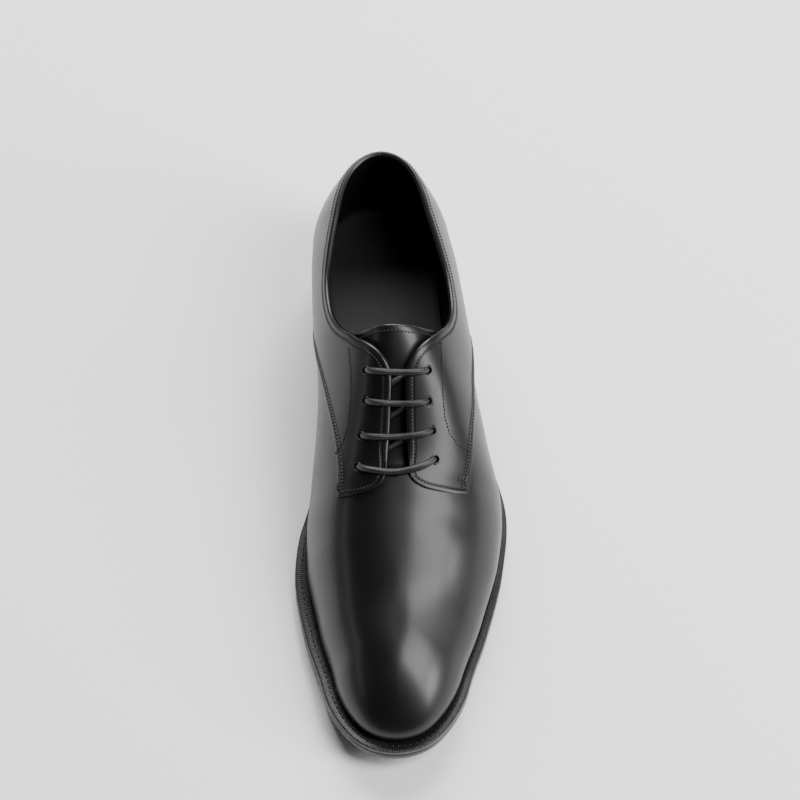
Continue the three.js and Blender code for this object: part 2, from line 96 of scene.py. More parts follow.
RIDGE = [  # along, height, offset to the lateral side
    (0.0, 0.26, 0.0), (0.1, 0.4, 0.004), (0.2, 0.53, 0.012), (0.3, 0.66, 0.02), (0.4, 0.79, 0.026),
    (0.5, 0.92, 0.034), (0.58, 1.0, 0.036), (0.68, 1.05, 0.016), (0.8, 1.03, 0.0), (1.0, 1.0, 0.012),
]
SECTIONS = [  # way round from heel to toe, lateral swell, medial swell, fullness
    (0.0, 0.02, 0.02, 2.2), (0.1, 0.024, 0.024, 1.7), (0.2, 0.036, 0.035, 1.48),
    (0.3, 0.075, 0.06, 1.68), (0.4, 0.08, 0.085, 2.2), (0.5, 0.03, 0.065, 2.6),
    (0.6, 0.045, 0.01, 2.5), (0.7, 0.04, 0.008, 2.4), (0.8, 0.025, 0.012, 2.45),
    (1.0, 0.015, 0.015, 2.6),
]
TOE_REACH, TOE_REACH_END, HEEL_REACH, HEEL_REACH_START = 0.16, 0.4, 0.055, 0.8


# %% Reading a table, and the edge of the sole
def from_table(rows, column, place):
    """A column's value at a place, on a smooth curve through the rows."""
    last = len(rows) - 1
    if place <= rows[0][0]:
        return rows[0][column]
    if place >= rows[last][0]:
        return rows[last][column]
    after = next(index for index, row in enumerate(rows) if row[0] >= place)
    before = after - 1

    def slope(index):
        low = rows[max(index - 1, 0)]
        high = rows[min(index + 1, last)]
        return (high[column] - low[column]) / (high[0] - low[0])

    span = rows[after][0] - rows[before][0]
    t = (place - rows[before][0]) / span
    back = 1 - t
    value = back * back * ((1 + 2 * t) * rows[before][column] + t * span * slope(before))
    return value + t * t * ((1 + 2 * back) * rows[after][column] - back * span * slope(after))


def lengthwise(along):
    return LENGTH * (along - 0.5)


def along_at(y):
    return y / LENGTH + 0.5


def round_ends(along):
    if along < TOE_ROUND:
        return math.sqrt(1 - (1 - along / TOE_ROUND) ** 2)
    if along > 1 - HEEL_ROUND:
        return math.sqrt(max(0.0, 1 - ((along - 1 + HEEL_ROUND) / HEEL_ROUND) ** 2))
    return 1.0


def station(around):
    """Side, way from heel to toe, and place along; around is 0 at the heel, 1 at the toe, 2 at the heel."""
    around = around % 2
    side = 1 if around <= 1 else -1
    way = around if around <= 1 else 2 - around
    return side, way, (1 + math.cos(math.pi * way)) / 2


def edge_point(around):
    side, _, along = station(around)
    half = BALL_WIDTH * from_table(SOLE_EDGE, LATERAL if side > 0 else MEDIAL, along)
    return Vector((side * half * round_ends(along), lengthwise(along)))


EDGE_STEP = 0.002


def inset_point(around, inset):
    """The sole's edge moved inwards, and the direction that points outwards there."""
    tangent = (edge_point(around + EDGE_STEP) - edge_point(around - EDGE_STEP)).normalized()
    outward = Vector((-tangent.y, tangent.x))
    return edge_point(around) - outward * inset, outward


# %% Heights along the shoe
def smoothstep(value, start, end):
    t = min(max((value - start) / (end - start), 0.0), 1.0)
    return t * t * (3 - 2 * t)


def sole_bottom(y):
    along = min(max(along_at(y), 0.0), 1.0)
    if along < FLAT_FROM:
        return TOE_SPRING * ((FLAT_FROM - along) / FLAT_FROM) ** SPRING_CURVE
    return HEEL_HEIGHT * smoothstep(along, FLAT_TO, ARCH_END)


def welt_top(y):
    return sole_bottom(y) + OUTSOLE_THICKNESS + CLEARANCE + WELT_THICKNESS


def upper_foot(y):
    return welt_top(y) + CLEARANCE


def ridge_offset(y):
    return BALL_WIDTH * from_table(RIDGE, OFFSET, along_at(y))


def beside_ridge(along, out):
    """Place across the shoe; out is a share of the ball width, towards the lateral side."""
    return ridge_offset(lengthwise(along)) + out * BALL_WIDTH


def ledge_at(around):
    side, _, along = station(around)
    return WELT_WIDTH * from_table(LEDGE, LATERAL if side > 0 else MEDIAL, along)


def ridge_place(along):
    toe = max(0.0, 1 - along / TOE_REACH_END) ** 2 * TOE_REACH
    heel = max(0.0, (along - HEEL_REACH_START) / (1 - HEEL_REACH_START)) ** 2 * HEEL_REACH
    return along + toe - heel


# %% A point of the form, and the direction square to it
BULGE = 6.75  # brings the peak of lift * (1 - lift) ** 2 to 1


def form_point(around, rise, inset=0.0):
    """Place on the last's form in mm, rise going from 0 at the foot to 1 on the ridge."""
    side, way, along = station(around)
    foot, outward = inset_point(around, ledge_at(around) + inset)
    y = lengthwise(ridge_place(along))
    ridge = Vector((ridge_offset(y), y))
    fullness = from_table(SECTIONS, FULLNESS, way)
    swell = BALL_WIDTH * from_table(SECTIONS, LATERAL if side > 0 else MEDIAL, way)
    angle = min(max(rise, 0.0), 1.0) * math.pi / 2
    reach = max(math.cos(angle), 0.0) ** (2 / fullness) if rise < 1 else 0.0
    lift = math.sin(angle)
    plan = ridge + (foot - ridge) * reach + outward * (swell * BULGE * lift * (1 - lift) ** 2)
    ridge_rise = INSTEP_HEIGHT * from_table(RIDGE, HEIGHT, along_at(plan.y)) - inset
    return Vector((plan.x, plan.y, upper_foot(plan.y) + ridge_rise * lift))


TURN_STEP, RISE_STEP = 0.004, 0.01
RIDGE_RISE = 0.999  # just below the ridge, where the two sides meet


def form_normal(around, rise, inset=0.0):
    low, high = max(rise - RISE_STEP, 0.0), min(rise + RISE_STEP, RIDGE_RISE)
    forward = form_point(around + TURN_STEP, rise, inset) - form_point(around - TURN_STEP, rise, inset)
    upward = form_point(around, high, inset) - form_point(around, low, inset)
    return upward.cross(forward).normalized()


def around_of(side, along):
    way = math.acos(min(max(2 * along - 1, -1.0), 1.0)) / math.pi
    return way if side > 0 else 2 - way


BISECTIONS = 22


def rise_until(around, inside, inset=0.0):
    """The highest rise, counted from the foot, whose point isn't yet inside an opening."""
    low, high = 0.0, 1.0
    for _ in range(BISECTIONS):
        middle = (low + high) / 2
        if inside(form_point(around, middle, inset)):
            high = middle
        else:
            low = middle
    return low


def rise_at_reach(around, reach, inset):
    """The rise at which the form is that far from the ridge in plan, in mm."""
    return rise_until(around, lambda p: abs(p.x - ridge_offset(p.y)) < reach, inset)


NORMAL_TOP = 0.985  # nearer to the ridge, the direction is taken at this rise


def above_form(x, along, inset, distance):
    """A point at a distance above the form over a place in plan, and the normal there."""
    out = x - ridge_offset(lengthwise(along))
    around = around_of(1 if out >= 0 else -1, along)
    rise = rise_at_reach(around, abs(out), inset)
    normal = form_normal(around, min(rise, NORMAL_TOP), inset)
    return form_point(around, rise, inset) + normal * distance, normal


print("instep ridge in mm:", [round(c, 1) for c in form_point(around_of(1, 0.58), 1.0)])

# %% [markdown]
# # From the form to the scene
# The solids stand with the middle of the whole shoe over the origin, and Blender works in metres. The
# side shift could be typed in, but reading it from the outsole keeps both models together for certain.

# %% Placing a point in the scene
MM = 0.001
AROUND_STEPS = 400
edge_left = min(edge_point(2 * step / AROUND_STEPS).x for step in range(AROUND_STEPS))
side_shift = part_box("outsole")[0].x / MM - edge_left


def scene_place(point):
    return Vector(((point[0] + side_shift) * MM, point[1] * MM, point[2] * MM))


def new_object(name, data):
    """A new object, linked into the scene."""
    thing = bpy.data.objects.new(name, data)
    bpy.context.collection.objects.link(thing)
    return thing


def mesh_from(name, shape):
    """The shape as a mesh; the shape itself is freed."""
    mesh = bpy.data.meshes.new(name)
    shape.to_mesh(mesh)
    shape.free()
    return mesh


print(f"shift to the side: {side_shift:.2f} mm")

# %% [markdown]
# # Camera, floor and light
# The picture is taken from above the toe, about 62 degrees over the floor, with a long lens. The camera
# keeps that place and is turned to the middle of the shoe. The floor could be a photographer's sweep,
# but from this height a plain pale floor fills the frame. Near-black calf shows only what it mirrors, so
# the soft boxes draw its shape: a tall one above the outer side for the vamp, a small one lower down for
# the toe, a weak low strip on the inner side, and a wide one high behind the heel, mostly for the floor.

# %% Camera
PHOTO_PLACE = Vector((-58.9, -704.7, 1364.4))
PHOTO_ELEVATION = math.radians(62.0)
PHOTO_TURN = math.radians(1.1)
LENS = 137.7
AIM = Vector((7.3, 28.0, 42.0))

forward = Vector((
    math.sin(PHOTO_TURN) * math.cos(PHOTO_ELEVATION),
    math.cos(PHOTO_TURN) * math.cos(PHOTO_ELEVATION),
    -math.sin(PHOTO_ELEVATION),
))
rightward = Vector((math.cos(PHOTO_TURN), -math.sin(PHOTO_TURN), 0.0))
upright = rightward.cross(forward)
photo_turn = Matrix((rightward, upright, -forward)).transposed().to_quaternion()
to_shoe = forward.rotation_difference((AIM - PHOTO_PLACE).normalized())

camera_data = bpy.data.cameras.new("camera")
camera_data.lens = LENS
camera = new_object("camera", camera_data)
camera.location = scene_place(PHOTO_PLACE)
camera.rotation_mode = "QUATERNION"
camera.rotation_quaternion = to_shoe @ photo_turn
bpy.context.scene.camera = camera
print("camera at", [round(c, 3) for c in camera.location])


# %% Lights
SHOE_MIDDLE = Vector((0.0, 0.0, 0.05))


def softbox(name, direction, distance, width, height, watts):
    """A soft box that faces the middle of the shoe; its sizes are in metres."""
    light = bpy.data.lights.new(name, "AREA")
    light.shape = "RECTANGLE"
    light.size = width
    light.size_y = height
    light.energy = watts
    lamp = new_object(name, light)
    aim = Vector(direction).normalized()
    lamp.location = aim * distance + SHOE_MIDDLE
    lamp.rotation_mode = "QUATERNION"
    lamp.rotation_quaternion = aim.to_track_quat("Z", "Y")


softbox("softbox_outer_side", (0.57, -0.17, 0.8), 1.7, 0.6, 1.4, 37)
softbox("softbox_outer_toe", (0.89, -0.3, 0.36), 1.6, 0.4, 0.35, 11)
softbox("softbox_inner_side", (-0.93, -0.05, 0.3), 1.8, 1.0, 0.25, 1.6)
softbox("softbox_behind", (0.0, 0.75, 0.66), 2.0, 1.8, 1.0, 85)

STUDIO_LIGHT = (0.93, 0.94, 0.95, 1.0)
STUDIO_STRENGTH = 0.06
world = bpy.data.worlds.new("studio")
bpy.context.scene.world = world
world.use_nodes = True
background = world.node_tree.nodes["Background"]
background.inputs["Color"].default_value = STUDIO_LIGHT
background.inputs["Strength"].default_value = STUDIO_STRENGTH

# %% [markdown]
# # Materials
# Every finish is made of nodes, from patterns whose scale is a real size. Colours are written as the
# hex values that a picture editor shows, so one function turns them into the linear values that the
# renderer adds up. One more function adds a node with its settings and links, which keeps each material
# short enough to read as a recipe.

# %% Colours and nodes
def linear(code):
    """Linear colour of an sRGB hex value."""
    channels = [int(code[i:i + 2], 16) / 255 for i in (1, 3, 5)]
    return [c / 12.92 if c <= 0.04045 else ((c + 0.055) / 1.055) ** 2.4 for c in channels] + [1.0]


def new_material(name):
    material = bpy.data.materials.new(name)
    material.use_nodes = True
    return material, material.node_tree.nodes["Principled BSDF"]


def add_node(material, kind, settings=None, **links):
    """Adds a node; links name its inputs, as a value or as another node's output."""
    node = material.node_tree.nodes.new(kind)
    for name, value in (settings or {}).items():
        setattr(node, name, value)
    for name, value in links.items():
        socket = node.inputs[int(name[3:])] if name.startswith("in_") else node.inputs[name.replace("_", " ")]
        if isinstance(value, bpy.types.NodeSocket):
            material.node_tree.links.new(value, socket)
        else:
            socket.default_value = value
    return node


def connect(material, output, socket):
    material.node_tree.links.new(output, socket)


def per_metre(size_mm):
    """Pattern scale for a feature of that size."""
    return 1.0 / (size_mm * MM)


# %% [markdown]
# ## Box calf
# Box calf is calfskin tanned with chrome salts, dyed black, glazed and polished. That leaves fine pores
# in a close surface under a thin coat of polish: a satin base with a clearer gloss on top. The pores are
# about a quarter of a millimetre, too fine for this picture, so they are drawn at twice that. The same
# recipe serves the quarters, with one addition: the leather is pressed down along its stitch rows, which
# follow the distance to the edge that each panel carries as an attribute.

# %% Box calf
GRAIN = 0.5
PORE_DEPTH = 0.05
HANDLING = 14.0
STITCH_INSET = 2.3
GROOVE_HALF = 0.9
GROOVE_DEPTH = 0.35


def box_calf(name, stitched):
    material, shader = new_material(name)
    place = add_node(material, "ShaderNodeTexCoord").outputs["Object"]
    handled = add_node(material, "ShaderNodeTexNoise", Vector=place, Scale=per_metre(HANDLING), Detail=3.0)
    tint = add_node(material, "ShaderNodeMix", {"data_type": "RGBA"},
                    Factor=handled.outputs["Fac"], A=linear("#070707"), B=linear("#0c0c0c"))
    connect(material, tint.outputs["Result"], shader.inputs["Base Color"])
    gloss = add_node(material, "ShaderNodeMapRange",
                     Value=handled.outputs["Fac"], To_Min=0.35, To_Max=0.42)
    connect(material, gloss.outputs["Result"], shader.inputs["Roughness"])
    shader.inputs["Specular IOR Level"].default_value = 0.32
    shader.inputs["Coat Weight"].default_value = 0.18
    shader.inputs["Coat Roughness"].default_value = 0.22
    pores = add_node(
        material, "ShaderNodeTexVoronoi", {"feature": "SMOOTH_F1"}, Vector=place, Scale=per_metre(GRAIN))
    grain = add_node(material, "ShaderNodeBump",
                     Height=pores.outputs["Distance"], Strength=0.12, Distance=PORE_DEPTH * MM)
    relief = grain
    if stitched:
        edge = add_node(material, "ShaderNodeAttribute", {"attribute_name": "edge_mm"}).outputs["Fac"]
        away = add_node(material, "ShaderNodeMath", {"operation": "SUBTRACT"}, in_0=edge, in_1=STITCH_INSET)
        near = add_node(material, "ShaderNodeMath", {"operation": "ABSOLUTE"}, in_0=away.outputs[0])
        groove = add_node(material, "ShaderNodeMapRange", {"interpolation_type": "SMOOTHSTEP"},
                          Value=near.outputs[0], From_Max=GROOVE_HALF)
        relief = add_node(material, "ShaderNodeBump", Height=groove.outputs["Result"], Strength=0.7,
                          Distance=GROOVE_DEPTH * MM, Normal=grain.outputs["Normal"])
    connect(material, relief.outputs["Normal"], shader.inputs["Normal"])
    return material


vamp_calf = box_calf("box_calf_glazed", stitched=False)
quarter_calf = box_calf("box_calf_glazed_stitched", stitched=True)

# %% [markdown]
# ## Lining and sock leather
# The inside is lined with vegetable-tanned leather dyed black and left unglazed, so that it breathes.
# It shows as a dull dark grey with a soft, slightly mottled surface, and it has no marks of wear,
# because the shoe is new.

# %% Lining leather
MOTTLE = 6.0
FIBRE = 1.2


def lining_leather():
    material, shader = new_material("lining_leather_unglazed")
    place = add_node(material, "ShaderNodeTexCoord").outputs["Object"]
    mottle = add_node(material, "ShaderNodeTexNoise", Vector=place, Scale=per_metre(MOTTLE), Detail=4.0)
    tint = add_node(material, "ShaderNodeMix", {"data_type": "RGBA"},
                    Factor=mottle.outputs["Fac"], A=linear("#131212"), B=linear("#1c1b1b"))
    connect(material, tint.outputs["Result"], shader.inputs["Base Color"])
    shader.inputs["Roughness"].default_value = 0.55
    shader.inputs["Specular IOR Level"].default_value = 0.2
    fibres = add_node(material, "ShaderNodeTexNoise", Vector=place, Scale=per_metre(FIBRE), Detail=2.0)
    relief = add_node(
        material, "ShaderNodeBump", Height=fibres.outputs["Fac"], Strength=0.3, Distance=0.1 * MM)
    connect(material, relief.outputs["Normal"], shader.inputs["Normal"])
    return material


lining = lining_leather()

# %% [markdown]
# ## Sole leather
# Outsole, welt and heel lifts are oak-bark tanned bends: dense, fibrous leather. Their edges are
# trimmed, inked black and burnished with hot wax, which gives a smooth, slightly brown-black shine with
# faint lines along the edge. The welt also carries the marks of the fudging wheel, a close row of
# ribs pressed between the stitches, drawn along the edge with the ring's own UV map in millimetres.

# %% Sole leather
RIB = 1.15
SOLE_FIBRE = 2.5
FLATTENED = (1.0, 1.0, 6.0)  # the fibres lie flat, so their pattern is pressed together in height


def sole_leather(name, dark, light, roughness, ribbed):
    material, shader = new_material(name)
    place = add_node(material, "ShaderNodeTexCoord").outputs["Object"]
    flat = add_node(material, "ShaderNodeMapping", Vector=place, Scale=FLATTENED)
    fibres = add_node(material, "ShaderNodeTexNoise",
                      Vector=flat.outputs["Vector"], Scale=per_metre(SOLE_FIBRE), Detail=5.0)
    tint = add_node(material, "ShaderNodeMix", {"data_type": "RGBA"},
                    Factor=fibres.outputs["Fac"], A=linear(dark), B=linear(light))
    connect(material, tint.outputs["Result"], shader.inputs["Base Color"])
    shader.inputs["Roughness"].default_value = roughness
    shader.inputs["Coat Weight"].default_value = 0.25
    shader.inputs["Coat Roughness"].default_value = 0.3
    relief = add_node(
        material, "ShaderNodeBump", Height=fibres.outputs["Fac"], Strength=0.35, Distance=0.15 * MM)
    if ribbed:
        ring = add_node(material, "ShaderNodeUVMap", {"uv_map": "millimetres"})
        across = add_node(material, "ShaderNodeSeparateXYZ", Vector=ring.outputs["UV"])
        turn = add_node(material, "ShaderNodeMath", {"operation": "MULTIPLY"},
                        in_0=across.outputs["X"], in_1=2 * math.pi / RIB)
        wave = add_node(material, "ShaderNodeMath", {"operation": "SINE"}, in_0=turn.outputs[0])
        relief = add_node(material, "ShaderNodeBump", Height=wave.outputs[0], Strength=0.8,
                          Distance=0.25 * MM, Normal=relief.outputs["Normal"])
    connect(material, relief.outputs["Normal"], shader.inputs["Normal"])
    return material


sole_edge_ink = sole_leather("sole_leather_inked_edge", "#0e0d0c", "#171513", 0.42, ribbed=False)
welt_leather = sole_leather("sole_leather_fudged_welt", "#0d0c0c", "#161513", 0.4, ribbed=True)

# %% [markdown]
# ## Rubber top piece and waxed cotton
# The top piece is moulded rubber, matt black with a fine pebble so that it grips. The lace is cotton
# braided round a core and waxed: a close herringbone of strands with a dull gloss. The stitches are
# waxed thread, rougher and darker than the glazed leather, so a row reads as dark dots.

# %% Rubber, lace and thread
PEBBLE = 1.4
STRAND = 1.0
PLY = 0.8


def top_piece_rubber():
    material, shader = new_material("rubber_moulded_matt")
    shader.inputs["Base Color"].default_value = linear("#151515")
    shader.inputs["Roughness"].default_value = 0.78
    place = add_node(material, "ShaderNodeTexCoord").outputs["Object"]
    pebbles = add_node(material, "ShaderNodeTexVoronoi", Vector=place, Scale=per_metre(PEBBLE))
    relief = add_node(
        material, "ShaderNodeBump", Height=pebbles.outputs["Distance"], Strength=0.4, Distance=0.2 * MM)
    connect(material, relief.outputs["Normal"], shader.inputs["Normal"])
    return material


def lace_cotton():
    material, shader = new_material("waxed_cotton_braid")
    strand = add_node(material, "ShaderNodeUVMap", {"uv_map": "millimetres"})
    along = add_node(material, "ShaderNodeSeparateXYZ", Vector=strand.outputs["UV"])
    waves = []
    for hand in (1.0, -1.0):
        slant = add_node(material, "ShaderNodeMath", {"operation": "MULTIPLY_ADD"},
                         in_0=along.outputs["Y"], in_1=hand, in_2=along.outputs["X"])
        turn = add_node(material, "ShaderNodeMath", {"operation": "MULTIPLY"},
                        in_0=slant.outputs[0], in_1=2 * math.pi / (2 * STRAND))
        waves.append(add_node(material, "ShaderNodeMath", {"operation": "SINE"}, in_0=turn.outputs[0]))
    braid = add_node(material, "ShaderNodeMath", {"operation": "MULTIPLY"},
                     in_0=waves[0].outputs[0], in_1=waves[1].outputs[0])
    height = add_node(material, "ShaderNodeMath", {"operation": "MULTIPLY_ADD"},
                      in_0=braid.outputs[0], in_1=0.5, in_2=0.5)
    # The braid's grooves are painted darker than the strand tops: painted shade that follows the same height
    # as the bump.
    tint = add_node(material, "ShaderNodeMix", {"data_type": "RGBA"},
                    Factor=height.outputs[0], A=linear("#0d0d0d"), B=linear("#1b1b1a"))
    connect(material, tint.outputs["Result"], shader.inputs["Base Color"])
    shader.inputs["Roughness"].default_value = 0.5
    relief = add_node(
        material, "ShaderNodeBump", Height=height.outputs[0], Strength=0.6, Distance=0.18 * MM)
    connect(material, relief.outputs["Normal"], shader.inputs["Normal"])
    return material


def stitch_thread():
    material, shader = new_material("waxed_thread")
    place = add_node(material, "ShaderNodeTexCoord").outputs["Object"]
    ply = add_node(material, "ShaderNodeTexNoise", Vector=place, Scale=per_metre(PLY))
    tint = add_node(material, "ShaderNodeMix", {"data_type": "RGBA"},
                    Factor=ply.outputs["Fac"], A=linear("#050505"), B=linear("#101010"))
    connect(material, tint.outputs["Result"], shader.inputs["Base Color"])
    shader.inputs["Roughness"].default_value = 0.55
    return material


rubber = top_piece_rubber()
braid = lace_cotton()
thread = stitch_thread()


# %% Floor
PAPER_TOOTH = 3.0
FLOOR_HALF = 4.0


def studio_floor():
    material, shader = new_material("studio_paper")
    place = add_node(material, "ShaderNodeTexCoord").outputs["Object"]
    tooth = add_node(material, "ShaderNodeTexNoise", Vector=place, Scale=per_metre(PAPER_TOOTH))
    tint = add_node(material, "ShaderNodeMix", {"data_type": "RGBA"},
                    Factor=tooth.outputs["Fac"], A=linear("#f4f4f4"), B=linear("#f8f8f8"))
    connect(material, tint.outputs["Result"], shader.inputs["Base Color"])
    shader.inputs["Roughness"].default_value = 0.9
    paper = bmesh.new()
    bmesh.ops.create_grid(paper, x_segments=4, y_segments=4, size=FLOOR_HALF)
    mesh = mesh_from("floor", paper)
    mesh.materials.append(material)
    floor = new_object("floor", mesh)


studio_floor()


# %% [markdown]
# # Sheets moved onto the shoe
# Nearly every piece of a shoe is a sheet or a ring that follows the last. So one helper makes a grid,
# moves its points to places on the form, and welds what meets. Where a sheet closes on itself its faces
# are turned outwards; where it stays open they are turned away from the middle of the shoe.

# %% Making a sheet
WELD = 0.01 * MM
INSIDE_HEIGHT = 40.0


def finish_piece(name, shape, materials, replaces=()):
    mesh = mesh_from(name, shape)
    for material in materials:
        mesh.materials.append(material)
    mesh.shade_smooth()
    piece = new_object(name, mesh)
    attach(piece, "root")
    if replaces:
        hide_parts(*replaces)
    return piece


def sheet(columns, rows, place, millimetres=None):
    """A grid whose point (u, v), each from 0 to 1, is moved to place(u, v)."""
    shape = bmesh.new()
    bmesh.ops.create_grid(shape, x_segments=columns, y_segments=rows, size=0.5)
    if millimetres:
        layer = shape.loops.layers.uv.new("millimetres")
        for face in shape.faces:
            for loop in face.loops:
                loop[layer].uv = millimetres(loop.vert.co.x + 0.5, loop.vert.co.y + 0.5)
    for vert in shape.verts:
        vert.co = scene_place(place(vert.co.x + 0.5, vert.co.y + 0.5))
    return shape


def weld(shape):
    """Joins the points that meet, clears collapsed faces and turns the others the same way."""
    bmesh.ops.remove_doubles(shape, verts=shape.verts, dist=WELD)
    bmesh.ops.dissolve_degenerate(shape, edges=shape.edges, dist=WELD)
    bmesh.ops.recalc_face_normals(shape, faces=shape.faces)


def face_outwards(shape):
    """Turns an open sheet's faces away from the inside of the shoe."""
    inside = 0.0
    for face in shape.faces:
        middle = face.calc_center_median()
        core = Vector((side_shift * MM, middle.y, INSIDE_HEIGHT * MM))
        inside += face.normal.dot(middle - core) * face.calc_area()
    if inside < 0:
        bmesh.ops.reverse_faces(shape, faces=shape.faces)


def add_wall(piece, thickness, inner_material=0):
    wall = piece.modifiers.new("wall", "SOLIDIFY")
    wall.thickness = thickness * MM
    wall.offset = -1.0
    wall.material_offset = inner_material
    wall.use_even_offset = True


CUT_ANGLE = math.radians(50.0)


def soften(piece, width):
    """Eases the cut edges of a sheet by a width in mm."""
    edge = piece.modifiers.new("cut_edge", "BEVEL")
    edge.width = width * MM
    edge.segments = 2
    edge.limit_method = "ANGLE"
    edge.angle_limit = CUT_ANGLE
    edge.profile = 0.5


# %% [markdown]
# # Outsole
# The outsole is one bend of leather, 5 mm thick, that springs up at the toe and runs through the arch to
# the heel. It could be cut from a block, but its edge is the same all the way round, so it is a ring of
# profile points that ends on the middle line above and below. The bottom has the channel that hides the
# sole stitching.

# %% Rings round the sole
RING_COLUMNS = 260


def ring_lengths():
    """Distance round the sole's edge at each of the ring's columns."""
    total = 0.0
    lengths = [0.0]
    for column in range(RING_COLUMNS):
        step = edge_point(2 * (column + 1) / RING_COLUMNS) - edge_point(2 * column / RING_COLUMNS)
        total += step.length
        lengths.append(total)
    return lengths


EDGE_LENGTHS = ring_lengths()


def ring_shape(profile, inset_of, height_of):
    """A closed ring; each profile row is an inset, the share of the way to the middle line, and a height."""
    rows = len(profile) - 1

    def place(u, v):
        inset, share, height = profile[round(v * rows)]
        around = 2 * u
        edge, _ = inset_point(around, inset_of(around, inset))
        facing, _ = inset_point(2 - around, inset_of(2 - around, inset))
        plan = edge.lerp((edge + facing) / 2, share)
        return Vector((plan.x, plan.y, height_of(plan.y) + height))

    def millimetres(u, v):
        inset, _, height = profile[round(v * rows)]
        return EDGE_LENGTHS[round(u * RING_COLUMNS)], inset + height

    shape = sheet(RING_COLUMNS, rows, place, millimetres)
    weld(shape)
    return shape


# %% Outsole
OUTSOLE_PROFILE = [  # inset in mm, share of the way to the middle, height above the bottom in mm
    (6.0, 1.0, 0.0), (6.0, 0.6, 0.0), (6.0, 0.25, 0.0), (5.0, 0.0, 0.0), (4.5, 0.0, 0.5), (4.0, 0.0, 0.0),
    (0.9, 0.0, 0.0), (0.3, 0.0, 0.25), (0.0, 0.0, 0.9), (0.0, 0.0, 2.5), (0.0, 0.0, 4.3),
    (0.25, 0.0, 4.8), (0.9, 0.0, 5.0), (6.0, 0.0, 5.0), (6.0, 0.5, 5.0), (6.0, 1.0, 5.0),
]
outsole_shape = ring_shape(OUTSOLE_PROFILE, lambda around, inset: inset, sole_bottom)
outsole = finish_piece("outsole_leather", outsole_shape, [sole_edge_ink], ["outsole"])
print("outsole faces:", len(outsole.data.polygons))

# %% [markdown]
# # Stacked heel and top piece
# The heel is built of four lifts of sole leather and a rubber top piece, all trimmed together to a
# slight taper and cut flat at the breast. Each lift is a ring like the outsole with its edges eased, so
# that the joints show as fine lines. The ring is cut at the breast and the cut is filled.

# %% Heel lifts
LIFTS = 4
LIFT_THICKNESS = (HEEL_HEIGHT - TOP_PIECE_THICKNESS) / LIFTS
LIFT_EASE = 0.22
TOP_PIECE_EASE = 0.5
TOP_PIECE_JOINT = 0.1
FILL_INSET, FILL_SHARE = 6.0, 0.4  # where the flat faces of a lift turn in to the middle line


def heel_inset(height):
    return HEEL_INSET + HEEL_TAPER * (1 - height / HEEL_HEIGHT)


def heel_layer(bottom, top, ease):
    low, high = heel_inset(bottom), heel_inset(top)
    profile = [
        (low + FILL_INSET, 1.0, bottom), (low + FILL_INSET, FILL_SHARE, bottom), (low + ease, 0.0, bottom),
        (low, 0.0, bottom + ease), ((low + high) / 2, 0.0, (bottom + top) / 2), (high, 0.0, top - ease),
        (high + ease, 0.0, top), (high + FILL_INSET, FILL_SHARE, top), (high + FILL_INSET, 1.0, top),
    ]
    shape = ring_shape(profile, lambda around, inset: inset, lambda y: 0.0)
    breast = scene_place((0.0, lengthwise(HEEL_BREAST), 0.0))
    everything = shape.verts[:] + shape.edges[:] + shape.faces[:]
    cut = bmesh.ops.bisect_plane(
        shape, geom=everything, dist=WELD, plane_co=breast, plane_no=(0.0, -1.0, 0.0), clear_outer=True)
    rim = [part for part in cut["geom_cut"] if isinstance(part, bmesh.types.BMEdge)]
    bmesh.ops.contextual_create(shape, geom=rim)
    bmesh.ops.recalc_face_normals(shape, faces=shape.faces)
    return shape


def joined(shapes):
    """Several shapes as one."""
    whole = bmesh.new()
    for shape in shapes:
        part = mesh_from("part", shape)
        whole.from_mesh(part)
        bpy.data.meshes.remove(part)
    return whole


lift_bottoms = [TOP_PIECE_THICKNESS + LIFT_THICKNESS * lift for lift in range(LIFTS)]
lifts = joined([heel_layer(bottom, bottom + LIFT_THICKNESS, LIFT_EASE) for bottom in lift_bottoms])
finish_piece("heel_lifts", lifts, [sole_edge_ink], ["heel_stack"])
top_piece = heel_layer(0.0, TOP_PIECE_THICKNESS - TOP_PIECE_JOINT, TOP_PIECE_EASE)
finish_piece("heel_top_piece_rubber", top_piece, [rubber], ["heel_top_piece"])
print(f"{LIFTS} lifts of {LIFT_THICKNESS} mm")

# %% [markdown]
# # Welt
# The welt is a strip of leather sewn round the foot of the upper, and the outsole is stitched to it. Its
# ledge is widest at the toe and narrow in the waist. It is a ring too, but its inner profile points
# follow the ledge, so a negative inset is counted from the crease just outside the foot of the upper.

# %% Welt
WELT_CREASE = 0.6
WELT_PROFILE = [  # inset from the edge, or when negative from the crease; share; height; in mm
    (-2.2, 0.0, 0.3), (0.5, 0.0, 0.3), (0.0, 0.0, 0.75), (0.0, 0.0, 3.1), (0.35, 0.0, 3.6), (1.0, 0.0, 3.8),
    (-0.01, 0.0, 3.75), (-0.6, 0.0, 3.55), (-2.2, 0.0, 3.5), (-2.2, 0.0, 0.3),
]


def welt_inset(around, inset):
    return inset if inset >= 0 else ledge_at(around) - WELT_CREASE - inset


welt_shape = ring_shape(WELT_PROFILE, welt_inset, lambda y: sole_bottom(y) + OUTSOLE_THICKNESS)
finish_piece("welt_leather", welt_shape, [welt_leather], ["welt"])


# %% [markdown]
# # Stitches
# A row of stitches is hundreds of short beads of thread. Each is a small oval of two dozen faces, laid
# along a path and pressed halfway into what it holds. The path could be drawn by hand, but it always
# follows an edge at a set distance, so it is measured along that edge instead.

# %% Rows of stitches
STITCH_PROUD = 0.2  # share of its thickness by which the middle of a stitch stands off the leather


def resampled(points, pitch):
    """Points at equal steps along a path, with the direction of the path at each."""
    spots = []
    left = pitch / 2
    for start, end in zip(points, points[1:]):
        run = end - start
        while left <= run.length:
            spots.append((start + run.normalized() * left, run.normalized()))
            left += pitch
        left -= run.length
    return spots


